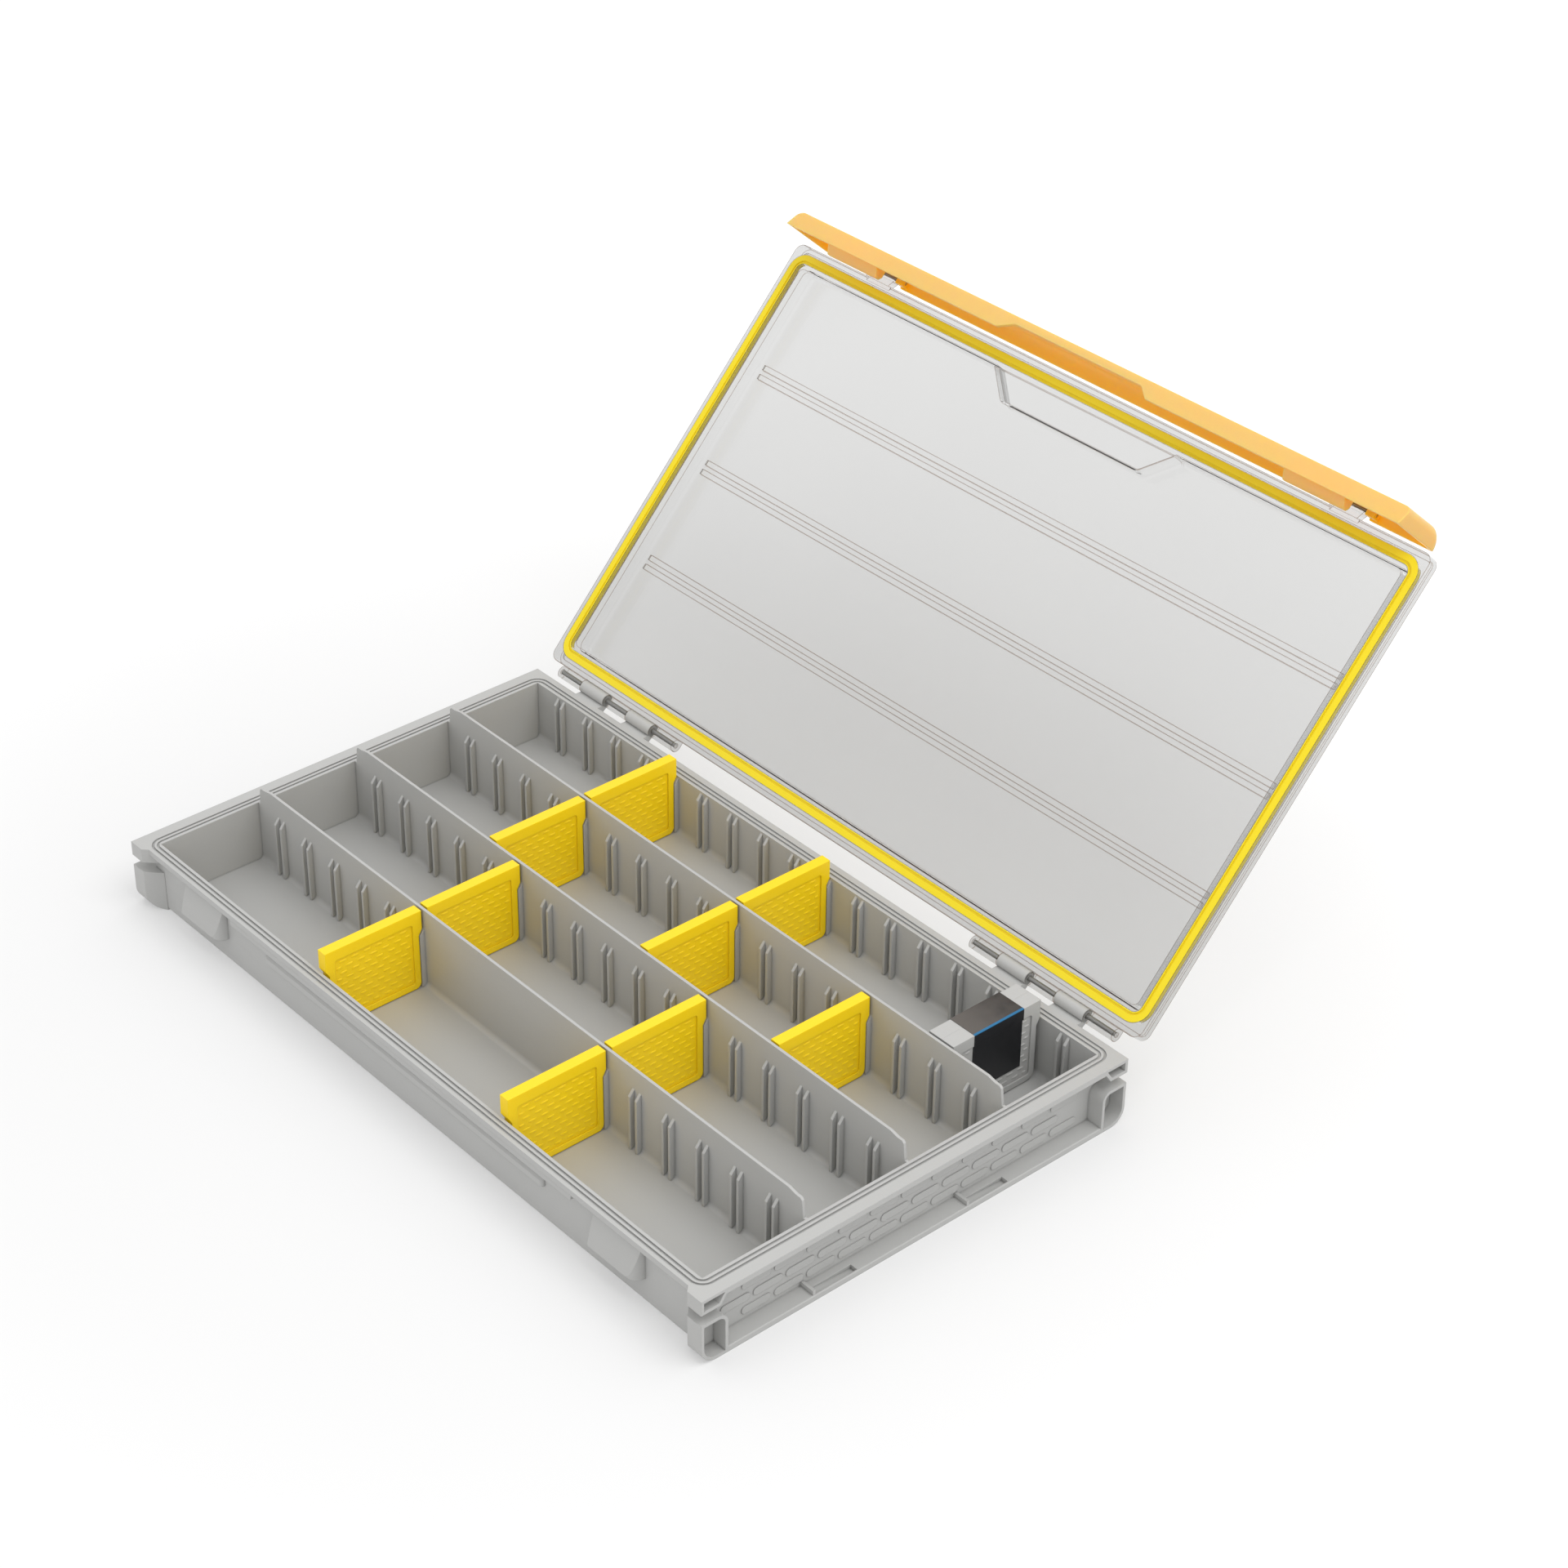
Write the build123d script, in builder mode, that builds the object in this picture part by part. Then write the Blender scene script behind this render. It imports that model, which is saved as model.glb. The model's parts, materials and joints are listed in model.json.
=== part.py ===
from build123d import *
from math import cos, radians, sin, sqrt
import os

# A flat tackle utility box, shown open: a grey tray with four long rows, yellow cross dividers and a
# drying divider that lift out, and a clear domed lid with a seal and a full-width amber latch.
# Millimetres. +X runs along the long side, +Y points to the hinge, +Z up, and the origin is on the
# ground at the middle of the tray's footprint. The lid and the latch are modelled closed and then
# swung open about the hinge.

os.makedirs("parts", exist_ok=True)

# Tray, overall
TRAY_LENGTH = 355.6
TRAY_WIDTH = 204.4
TRAY_HEIGHT = 29.2
WALL = 2.0
FLOOR = 2.0
FOOT_ROUND = 1.6

# Bay: the space inside the tray's four walls, set in from the corner blocks
END_REACH = 9.3
SIDE_REACH = 7.6
BAY_SHIFT = 0.5
FLOOR_FILLET = 2.2

# Rim flange with its raised seal ridge between two grooves
RIM_THICK = 2.5
RIM_FRONT_STEP = 2.2
RIDGE_OUT = 2.8
RIDGE_WIDTH = 1.0
GROOVE_WIDTH = 1.0
GROOVE_DEPTH = 0.6
SEAL_RADIUS = 4.5

# Long partitions between the rows
ROWS = 4
PARTITION = 1.2
PARTITION_RISE = 8.9
PARTITION_FOOT = 1.1
PARTITION_TAPER = 1.9
PARTITION_SAG = 0.9
PARTITION_CORNER = 0.9
SAG_START = 9.1
SAG_END = 5.1

# Slots for the cross dividers, each between two ribs
SLOTS = 17
SLOT_END = 7.0
SLOT_GAP = 2.6
RIB_WIDTH = 1.3
RIB_PROUD = 2.2
RIB_SLOPE = 2.8
WALL_RIB_DROP = 0.9
SMOOTH_SLOTS = (7, 8, 9, 10, 11)
EMBED = 0.3

# Corner blocks
BLOCK_LENGTH = 7.4
BLOCK_ROOT = 13.3
BLOCK_DEPTH = 12.0
BLOCK_WALL = 1.3
POCKET_DEPTH = 6.5
UPPER_BLOCK = 6.3
UPPER_TOP_DEPTH = 12.9
UPPER_LOW_DEPTH = 8.6
UPPER_POCKET_DEPTH = 4.6
BLOCK_GAP = 4.7
BLOCK_ROUND = 7.0
BLOCK_TOP_ROUND = 4.2

# End shelves with their two sloping pockets and cross ribs
SHELF = 2.4
SHELF_ROUND = 0.5
DISH_EDGE = 0.8
DISH_WIDTH = 3.3
DISH_LENGTH = 19.5
DISH_PLACES = (-0.197, 0.163)
DISH_SHALLOW = 0.5
DISH_FLOOR = 0.6
CROSS_RIB = 1.3
CROSS_RIB_HEIGHT = 4.3

# Raised pads on the end walls, in three rows with the middle row staggered
PAD_COUNT = 11
PAD_FIELD_END = 20.6
PAD_GAP = 1.5
PAD_HEIGHT = 3.4
PAD_PROUD = 0.4
PAD_ROW_PITCH = 5.65
PAD_MIDDLE_Z = 11.85
PAD_MIDDLE_Y = 2.5
PAD_STAGGER = 9.55

# Ramps on the front wall that the latch hooks ride over
RAMP_WIDTH = 21.8
RAMP_LEFT_END = 43.1
RAMP_RIGHT_END = 53.0
RAMP_DOWN = 18.2
RAMP_TOP_PROUD = 0.8
RAMP_PROUD = 4.9
RAMP_BULGE = 0.35
RAMP_COVE = 4.8

# Bar under the front rim, and the ledge below it
BAR_LEFT_END = 65.8
BAR_RIGHT_END = 74.8
BAR_HEIGHT = 3.5
BAR_PROUD = 3.2
BAR_ROUND = 1.2
LEDGE_LEFT_END = 86.8
LEDGE_RIGHT_END = 93.8
LEDGE_DOWN = 9.0
LEDGE_HEIGHT = 4.0
LEDGE_SLOPE = 1.5
LEDGE_PROUD = 1.6
LEDGE_ROUND = 1.4

# Hinge
HINGE_OUT = 5.2
HINGE_UP = 1.6
LID_OPEN = 132.45
KNUCKLE_RADIUS = 2.8
PIN_RADIUS = 1.0
RUNNING_FIT = 0.05
LID_KNUCKLE = 15.0
KNUCKLE_PITCH = 30.75
KNUCKLE_END = 18.8
KNUCKLE_COUNT = 3
KNUCKLE_GAP = 0.3
KNUCKLE_WEB_DROP = 5.5

# Lid
LID_END_STEP = 1.5
LID_FRONT_OUT = 1.1
LID_REAR_OUT = 2.66
LID_CORNER = 4.0
LID_GAP = 0.3
FLANGE = 2.0
BEAD_HEIGHT = 1.2
BEAD_WIDTH = 2.0
DOME_GROW = 0.6
DOME_WALL = 1.1
DOME_CORNER = 3.0
DOME_ROUND = 2.8
PANEL = 1.8
LID_RIB = 1.0
LID_RIB_WIDTH = 2.4
LID_RIB_SPREAD = 4.4
LID_RIB_END = 3.5
LID_RIB_GAP = 0.3
NOTCH_MOUTH = 100.0
NOTCH_FLOOR = 75.0
NOTCH_DEPTH = 12.0
NOTCH_ROUND = 3.0

# Seal gasket in the lid
GASKET_OUT = 3.9
GASKET_WIDTH = 3.9
GASKET_HEIGHT = 2.6
GASKET_FIT = 0.1
CREASE_WIDTH = 0.8
CREASE_DEPTH = 0.6

# Latch bar, in its closed place: distances out from the lid's front edge, and up or down from the rim
LATCH_END_GAP = 1.6
LATCH_WALL = 1.8
LATCH_FOOT_OUT = 2.0
LATCH_FOOT_DOWN = 20.75
LATCH_TOE_OUT = 9.75
LATCH_TOE_DOWN = 16.95
LATCH_FRONT_OUT = 10.3
LATCH_SHOULDER_UP = 4.0
LATCH_ROUND = 8.0
LATCH_BROW_OUT = 2.7
LATCH_END_ROUND = 3.0
LATCH_PIVOT_OUT = 5.1
LATCH_PIVOT_UP = 8.0
FINGER_MOUTH = 83.0
FINGER_FLOOR = 70.0
FINGER_DEPTH = 4.4

# Latch lugs, ears, pins and hooks
LUG_END = 47.8
LUG_WIDTH = 14.0
LUG_RADIUS = 1.9
LUG_SIDE_GAP = 0.7
LATCH_PIN_RADIUS = 0.9
EAR = 3.7
EAR_LOW = 2.6
EAR_INNER = 1.8
HOOK_END = 49.8
HOOK_WIDTH = 30.0
HOOK_RAMP_GAP = 0.6
HOOK_TOP_DOWN = 13.5
HOOK_TIP_HEIGHT = 3.5
HOOK_WALL = 1.5

# Cross dividers: slot numbers in each row, from the front row to the hinge row
DIVIDER_SLOTS = ((6, 12), (6, 12), (5, 10, 14), (5, 10))
DIVIDER_THICK = 4.6
DIVIDER_END_GAP = 0.9
DIVIDER_FLOOR_GAP = 0.3
DIVIDER_STEP_GAP = 0.4
DIVIDER_CORNER = 2.6
TONGUE_GAP = 0.3
FRAME_BORDER = 2.6
FRAME_TOP = 5.0
FRAME_RECESS = 0.6

# Drying divider
DRYER_ROW = 3
DRYER_SLOT = 16
DRYER_THICK = 13.0
DRYER_CORNER = 4.0
DRYER_WALL = 1.6
DRYER_BLOCK_GAP = 0.3
DRYER_STEP_UP = 0.8
DRYER_STEP_DOWN = 2.4
LABEL_WIDTH = 25.2
LABEL_SHIFT = 0.9
LABEL_THICK = 0.2
LABEL_FOOT = 9.0

# Worked out from the sizes above
HALF_LENGTH = TRAY_LENGTH / 2
HALF_WIDTH = TRAY_WIDTH / 2
BAY_LENGTH = TRAY_LENGTH - 2 * END_REACH
BAY_WIDTH = TRAY_WIDTH - 2 * SIDE_REACH
SLOT_PITCH = (BAY_LENGTH - 2 * SLOT_END) / SLOTS
LOWER_BLOCK = TRAY_HEIGHT - UPPER_BLOCK - BLOCK_GAP
PAD_PITCH = (TRAY_WIDTH - 2 * PAD_FIELD_END) / PAD_COUNT
PAD_LENGTH = PAD_PITCH - PAD_GAP
RAMP_CENTRES = (RAMP_LEFT_END - HALF_LENGTH, HALF_LENGTH - RAMP_RIGHT_END)
RAMP_FOOT = TRAY_HEIGHT - RAMP_DOWN
LEDGE_TOP_Z = TRAY_HEIGHT - LEDGE_DOWN
LEDGE_LOW_Z = LEDGE_TOP_Z - LEDGE_HEIGHT
RIM_FRONT_Y = RIM_FRONT_STEP - HALF_WIDTH
RIM_UNDER_Z = TRAY_HEIGHT - RIM_THICK
FRONT_FACE_Y = BAY_SHIFT - BAY_WIDTH / 2 - WALL
PARTITION_PITCH = (BAY_WIDTH + PARTITION) / ROWS
ROW_WIDTH = PARTITION_PITCH - PARTITION
PARTITION_TOP = TRAY_HEIGHT + PARTITION_RISE
HINGE_Y = HALF_WIDTH + HINGE_OUT
HINGE_Z = TRAY_HEIGHT + HINGE_UP
LID_HALF = HALF_LENGTH - LID_END_STEP
LID_FRONT = -HALF_WIDTH - LID_FRONT_OUT
LID_REAR = HALF_WIDTH + LID_REAR_OUT
LID_RIB_HALF = BAY_LENGTH / 2 - LID_RIB_END
LID_UNDER_Z = TRAY_HEIGHT + LID_GAP
FLANGE_UNDER_Z = LID_UNDER_Z + GASKET_HEIGHT
FLANGE_TOP_Z = FLANGE_UNDER_Z + FLANGE
FRAME_TOP_Z = FLANGE_TOP_Z + BEAD_HEIGHT
PANEL_UNDER_Z = PARTITION_TOP + LID_RIB_GAP + LID_RIB
LID_TOP_Z = PANEL_UNDER_Z + PANEL
TRAY_KNUCKLE = KNUCKLE_PITCH - LID_KNUCKLE - 2 * KNUCKLE_GAP
KNUCKLE_LAST = HALF_LENGTH - KNUCKLE_END
KNUCKLE_FIRST = KNUCKLE_LAST - (KNUCKLE_COUNT - 1) * KNUCKLE_PITCH
LID_KNUCKLES = [KNUCKLE_FIRST + i * KNUCKLE_PITCH for i in range(KNUCKLE_COUNT)]
TRAY_KNUCKLES = [x + KNUCKLE_PITCH / 2 for x in LID_KNUCKLES[:-1]]
LATCH_HALF = HALF_LENGTH - BLOCK_LENGTH - LATCH_END_GAP
LATCH_FOOT_Y = LID_FRONT - LATCH_FOOT_OUT
LATCH_FOOT_Z = TRAY_HEIGHT - LATCH_FOOT_DOWN
LATCH_TOE_Y = LID_FRONT - LATCH_TOE_OUT
LATCH_TOE_Z = TRAY_HEIGHT - LATCH_TOE_DOWN
LATCH_FRONT_Y = LID_FRONT - LATCH_FRONT_OUT
LATCH_SHOULDER_Z = TRAY_HEIGHT + LATCH_SHOULDER_UP
LATCH_BROW_Y = LID_FRONT - LATCH_BROW_OUT
LATCH_PIVOT_Y = LID_FRONT - LATCH_PIVOT_OUT
LATCH_PIVOT_Z = TRAY_HEIGHT + LATCH_PIVOT_UP
LUG_CENTRE = HALF_LENGTH - LUG_END
HOOK_CENTRE = HALF_LENGTH - HOOK_END
HOOK_TIP_Y = FRONT_FACE_Y - RAMP_PROUD - HOOK_RAMP_GAP
HOOK_TOP_Z = TRAY_HEIGHT - HOOK_TOP_DOWN
HOOK_LOW_Z = HOOK_TOP_Z - HOOK_TIP_HEIGHT
TONGUE = SLOT_GAP - 2 * TONGUE_GAP
DRYER_STEP_TOP = TRAY_HEIGHT + DRYER_STEP_UP
DRYER_STEP_LOW = TRAY_HEIGHT - DRYER_STEP_DOWN
LABEL_LOW_Z = FLOOR + LABEL_FOOT
SIDES = (-1, 1)


def row_y(row):
    """The middle of a row, counted from the front."""
    return BAY_SHIFT + (row - (ROWS - 1) / 2) * PARTITION_PITCH


def slot_x(slot):
    """The middle of a slot, counted from the left end."""
    return (slot - (SLOTS + 1) / 2) * SLOT_PITCH


PARTITION_YS = [row_y(row) + PARTITION_PITCH / 2 for row in range(ROWS - 1)]


# One bank of ribs: stands on a wall's face at Y=0, points to +Y, from Z=0 up
def rib_bank(height, slots):
    with BuildPart() as bank:
        with BuildSketch():
            for slot in slots:
                for side in SIDES:
                    with Locations((slot_x(slot) + side * (SLOT_GAP + RIB_WIDTH) / 2, 0)):
                        Rectangle(RIB_WIDTH, EMBED + RIB_PROUD, align=(Align.CENTER, Align.MIN))
        extrude(amount=height)
        with BuildSketch(Plane.YZ):
            with BuildLine():
                Polyline(
                    (EMBED, height),
                    (EMBED + RIB_PROUD, height - RIB_SLOPE),
                    (EMBED + RIB_PROUD, height + EMBED),
                    (EMBED, height + EMBED),
                    close=True,
                )
            make_face()
        extrude(amount=HALF_LENGTH, both=True, mode=Mode.SUBTRACT)
    return bank.part


# A closed ring round the bay, its centre line a given distance outside the bay's walls
def bay_ring(plane, out, width):
    with BuildSketch(plane) as ring:
        with Locations((0, BAY_SHIFT)):
            for edge, mode in ((width / 2, Mode.ADD), (-width / 2, Mode.SUBTRACT)):
                grow = 2 * (out + edge)
                corner = SEAL_RADIUS + out - RIDGE_OUT + edge
                RectangleRounded(BAY_LENGTH + grow, BAY_WIDTH + grow, corner, mode=mode)
    return ring.sketch


# One row's hollow, with rounded floor corners along its walls
with BuildPart() as row_hollow:
    Box(
        BAY_LENGTH,
        ROW_WIDTH,
        TRAY_HEIGHT,
        align=(Align.CENTER, Align.CENTER, Align.MIN),
    )
    fillet(row_hollow.faces().sort_by(Axis.Z)[0].edges().filter_by(Axis.X), FLOOR_FILLET)

# The two lugs of a front corner block as seen from the end, one over the other
with BuildSketch(Plane.YZ) as upper_side:
    with BuildLine():
        Polyline(
            (-HALF_WIDTH, TRAY_HEIGHT),
            (UPPER_TOP_DEPTH - HALF_WIDTH, TRAY_HEIGHT),
            (UPPER_LOW_DEPTH - HALF_WIDTH, TRAY_HEIGHT - UPPER_BLOCK),
            (-HALF_WIDTH, TRAY_HEIGHT - UPPER_BLOCK),
            close=True,
        )
    make_face()
with BuildSketch(Plane.YZ) as lower_side:
    with Locations((-HALF_WIDTH, 0)):
        Rectangle(BLOCK_DEPTH, LOWER_BLOCK, align=(Align.MIN, Align.MIN))
    fillet(lower_side.vertices().group_by(Axis.Y)[0].sort_by(Axis.X)[0], BLOCK_ROUND)
    fillet(lower_side.vertices().group_by(Axis.Y)[-1].sort_by(Axis.X)[-1], BLOCK_TOP_ROUND)

# Corner block at the front right, still without its pockets
with BuildPart() as corner_block:
    for lug_side in (upper_side, lower_side):
        with BuildPart(mode=Mode.PRIVATE) as lug:
            with BuildSketch():
                with BuildLine():
                    Polyline(
                        (HALF_LENGTH, -HALF_WIDTH),
                        (HALF_LENGTH - BLOCK_LENGTH, -HALF_WIDTH),
                        (HALF_LENGTH - BLOCK_ROOT, BLOCK_ROOT - BLOCK_LENGTH - HALF_WIDTH),
                        (HALF_LENGTH - BLOCK_ROOT, UPPER_TOP_DEPTH - HALF_WIDTH),
                        (HALF_LENGTH, UPPER_TOP_DEPTH - HALF_WIDTH),
                        close=True,
                    )
                make_face()
            extrude(amount=TRAY_HEIGHT)
            extrude(lug_side.sketch, amount=TRAY_LENGTH, mode=Mode.INTERSECT)
        add(lug.part)

# The pockets in the end of that block
with BuildPart() as block_pockets:
    for lug_side, pocket_depth in ((lower_side, POCKET_DEPTH), (upper_side, UPPER_POCKET_DEPTH)):
        with BuildSketch(Plane.YZ.offset(HALF_LENGTH)) as pocket_face:
            add(lug_side.sketch_local)
            offset(amount=-BLOCK_WALL, kind=Kind.INTERSECTION, mode=Mode.REPLACE)
        extrude(pocket_face.sketch, amount=-pocket_depth)

# End shelf at the right: a ledge between the corner blocks, with two sloping pockets and cross ribs
with BuildPart() as end_shelf:
    shelf_depth = HALF_LENGTH - BAY_LENGTH / 2
    shelf_width = TRAY_WIDTH - 2 * BLOCK_DEPTH + 2 * EMBED
    with Locations((HALF_LENGTH, 0, 0)):
        Box(shelf_depth, shelf_width, SHELF, align=(Align.MAX, Align.CENTER, Align.MIN))
    top_edges = end_shelf.edges().filter_by(Axis.Y).group_by(Axis.Z)[-1]
    fillet(top_edges.sort_by(Axis.X)[-1], SHELF_ROUND)
    for place in DISH_PLACES:
        dish_start = place * TRAY_WIDTH - DISH_LENGTH / 2
        with Locations((HALF_LENGTH - SHELF_ROUND, dish_start, 0)):
            Box(
                shelf_depth - SHELF_ROUND,
                CROSS_RIB,
                CROSS_RIB_HEIGHT,
                align=(Align.MAX, Align.MAX, Align.MIN),
            )
        with BuildSketch(Plane.YZ.offset(HALF_LENGTH - DISH_EDGE)):
            with BuildLine():
                Polyline(
                    (dish_start, SHELF + EMBED),
                    (dish_start, SHELF - DISH_SHALLOW),
                    (dish_start + DISH_LENGTH, DISH_FLOOR),
                    (dish_start + DISH_LENGTH, SHELF + EMBED),
                    close=True,
                )
            make_face()
        extrude(amount=-DISH_WIDTH, mode=Mode.SUBTRACT)

# Raised pads on the right end wall
with BuildPart() as end_pads:
    with BuildSketch(Plane.YZ.offset(BAY_LENGTH / 2 + WALL - PAD_PROUD)):
        for row in (-1, 1):
            with Locations((PAD_MIDDLE_Y, PAD_MIDDLE_Z + row * PAD_ROW_PITCH)):
                with GridLocations(PAD_PITCH, 1, PAD_COUNT, 1):
                    SlotOverall(PAD_LENGTH, PAD_HEIGHT)
        with Locations((PAD_MIDDLE_Y - PAD_STAGGER, PAD_MIDDLE_Z)):
            with GridLocations(PAD_PITCH, 1, PAD_COUNT, 1):
                SlotOverall(PAD_LENGTH, PAD_HEIGHT)
    extrude(amount=2 * PAD_PROUD)

# Ramp on the front wall, its middle at X=0, with a hollow cove down its right side
with BuildPart() as ramp:
    with BuildSketch(Plane.YZ):
        with BuildLine():
            ramp_head = (FRONT_FACE_Y - RAMP_TOP_PROUD, RIM_UNDER_Z + EMBED)
            ramp_lip = (FRONT_FACE_Y - RAMP_PROUD, RAMP_FOOT + EMBED)
            bulge_y = (ramp_head[0] + ramp_lip[0]) / 2 - RAMP_BULGE
            ThreePointArc(ramp_head, (bulge_y, (ramp_head[1] + ramp_lip[1]) / 2), ramp_lip)
            Polyline(
                ramp_lip,
                (FRONT_FACE_Y - RAMP_PROUD, RAMP_FOOT),
                (FRONT_FACE_Y + EMBED, RAMP_FOOT),
                (FRONT_FACE_Y + EMBED, RIM_UNDER_Z + EMBED),
                ramp_head,
            )
        make_face()
    extrude(amount=RAMP_WIDTH / 2 + RAMP_COVE, both=True)
    with BuildSketch():
        with BuildLine():
            ramp_back = FRONT_FACE_Y + EMBED
            cove_edge = (RAMP_WIDTH / 2 + RAMP_COVE, FRONT_FACE_Y)
            cove_foot = (RAMP_WIDTH / 2, FRONT_FACE_Y - RAMP_COVE)
            Polyline((RAMP_WIDTH / 2, ramp_back), (RAMP_WIDTH / 2 + RAMP_COVE, ramp_back), cove_edge)
            RadiusArc(cove_edge, cove_foot, RAMP_COVE)
            Polyline(
                cove_foot,
                (RAMP_WIDTH / 2, FRONT_FACE_Y - RAMP_PROUD),
                (-RAMP_WIDTH / 2, FRONT_FACE_Y - RAMP_PROUD),
                (-RAMP_WIDTH / 2, ramp_back),
                (RAMP_WIDTH / 2, ramp_back),
            )
        make_face()
    extrude(amount=TRAY_HEIGHT, mode=Mode.INTERSECT)

# Bar right under the front rim
with BuildPart() as rim_bar:
    bar_left = BAR_LEFT_END - HALF_LENGTH
    bar_length = TRAY_LENGTH - BAR_LEFT_END - BAR_RIGHT_END
    with BuildSketch(Plane.XZ.offset(-FRONT_FACE_Y - EMBED)) as bar_face:
        with Locations((bar_left, RIM_UNDER_Z - BAR_HEIGHT)):
            Rectangle(bar_length, BAR_HEIGHT + EMBED, align=(Align.MIN, Align.MIN))
        fillet(bar_face.vertices().group_by(Axis.Y)[0], BAR_ROUND)
    extrude(amount=BAR_PROUD + EMBED)

# Ledge lower down the front wall, with a sloping top
with BuildPart() as front_ledge:
    ledge_left = LEDGE_LEFT_END - HALF_LENGTH
    with BuildSketch(Plane.YZ.offset(ledge_left)):
        with BuildLine():
            Polyline(
                (FRONT_FACE_Y + EMBED, LEDGE_TOP_Z),
                (FRONT_FACE_Y, LEDGE_TOP_Z),
                (FRONT_FACE_Y - LEDGE_PROUD, LEDGE_TOP_Z - LEDGE_SLOPE),
                (FRONT_FACE_Y - LEDGE_PROUD, LEDGE_LOW_Z),
                (FRONT_FACE_Y + EMBED, LEDGE_LOW_Z),
                close=True,
            )
        make_face()
    extrude(amount=TRAY_LENGTH - LEDGE_LEFT_END - LEDGE_RIGHT_END)
    fillet(front_ledge.edges().filter_by(Axis.Z).group_by(Axis.Y)[0], LEDGE_ROUND)

# Grey knuckle on the tray, its middle at X=0, with the web that joins it to the rim
with BuildPart() as tray_knuckle:
    with BuildSketch(Plane.YZ):
        with BuildLine():
            Polyline(
                (HALF_WIDTH - EMBED, TRAY_HEIGHT),
                (HINGE_Y, TRAY_HEIGHT),
                (HINGE_Y, HINGE_Z - KNUCKLE_RADIUS),
                (HALF_WIDTH - EMBED, TRAY_HEIGHT - KNUCKLE_WEB_DROP),
                (FRONT_FACE_Y + BAY_WIDTH + 2 * WALL - EMBED, TRAY_HEIGHT - KNUCKLE_WEB_DROP),
                (FRONT_FACE_Y + BAY_WIDTH + 2 * WALL - EMBED, TRAY_HEIGHT),
                close=True,
            )
        make_face()
        with Locations((HINGE_Y, HINGE_Z)):
            Circle(KNUCKLE_RADIUS)
            Circle(PIN_RADIUS, mode=Mode.SUBTRACT)
    extrude(amount=TRAY_KNUCKLE / 2, both=True)

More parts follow.
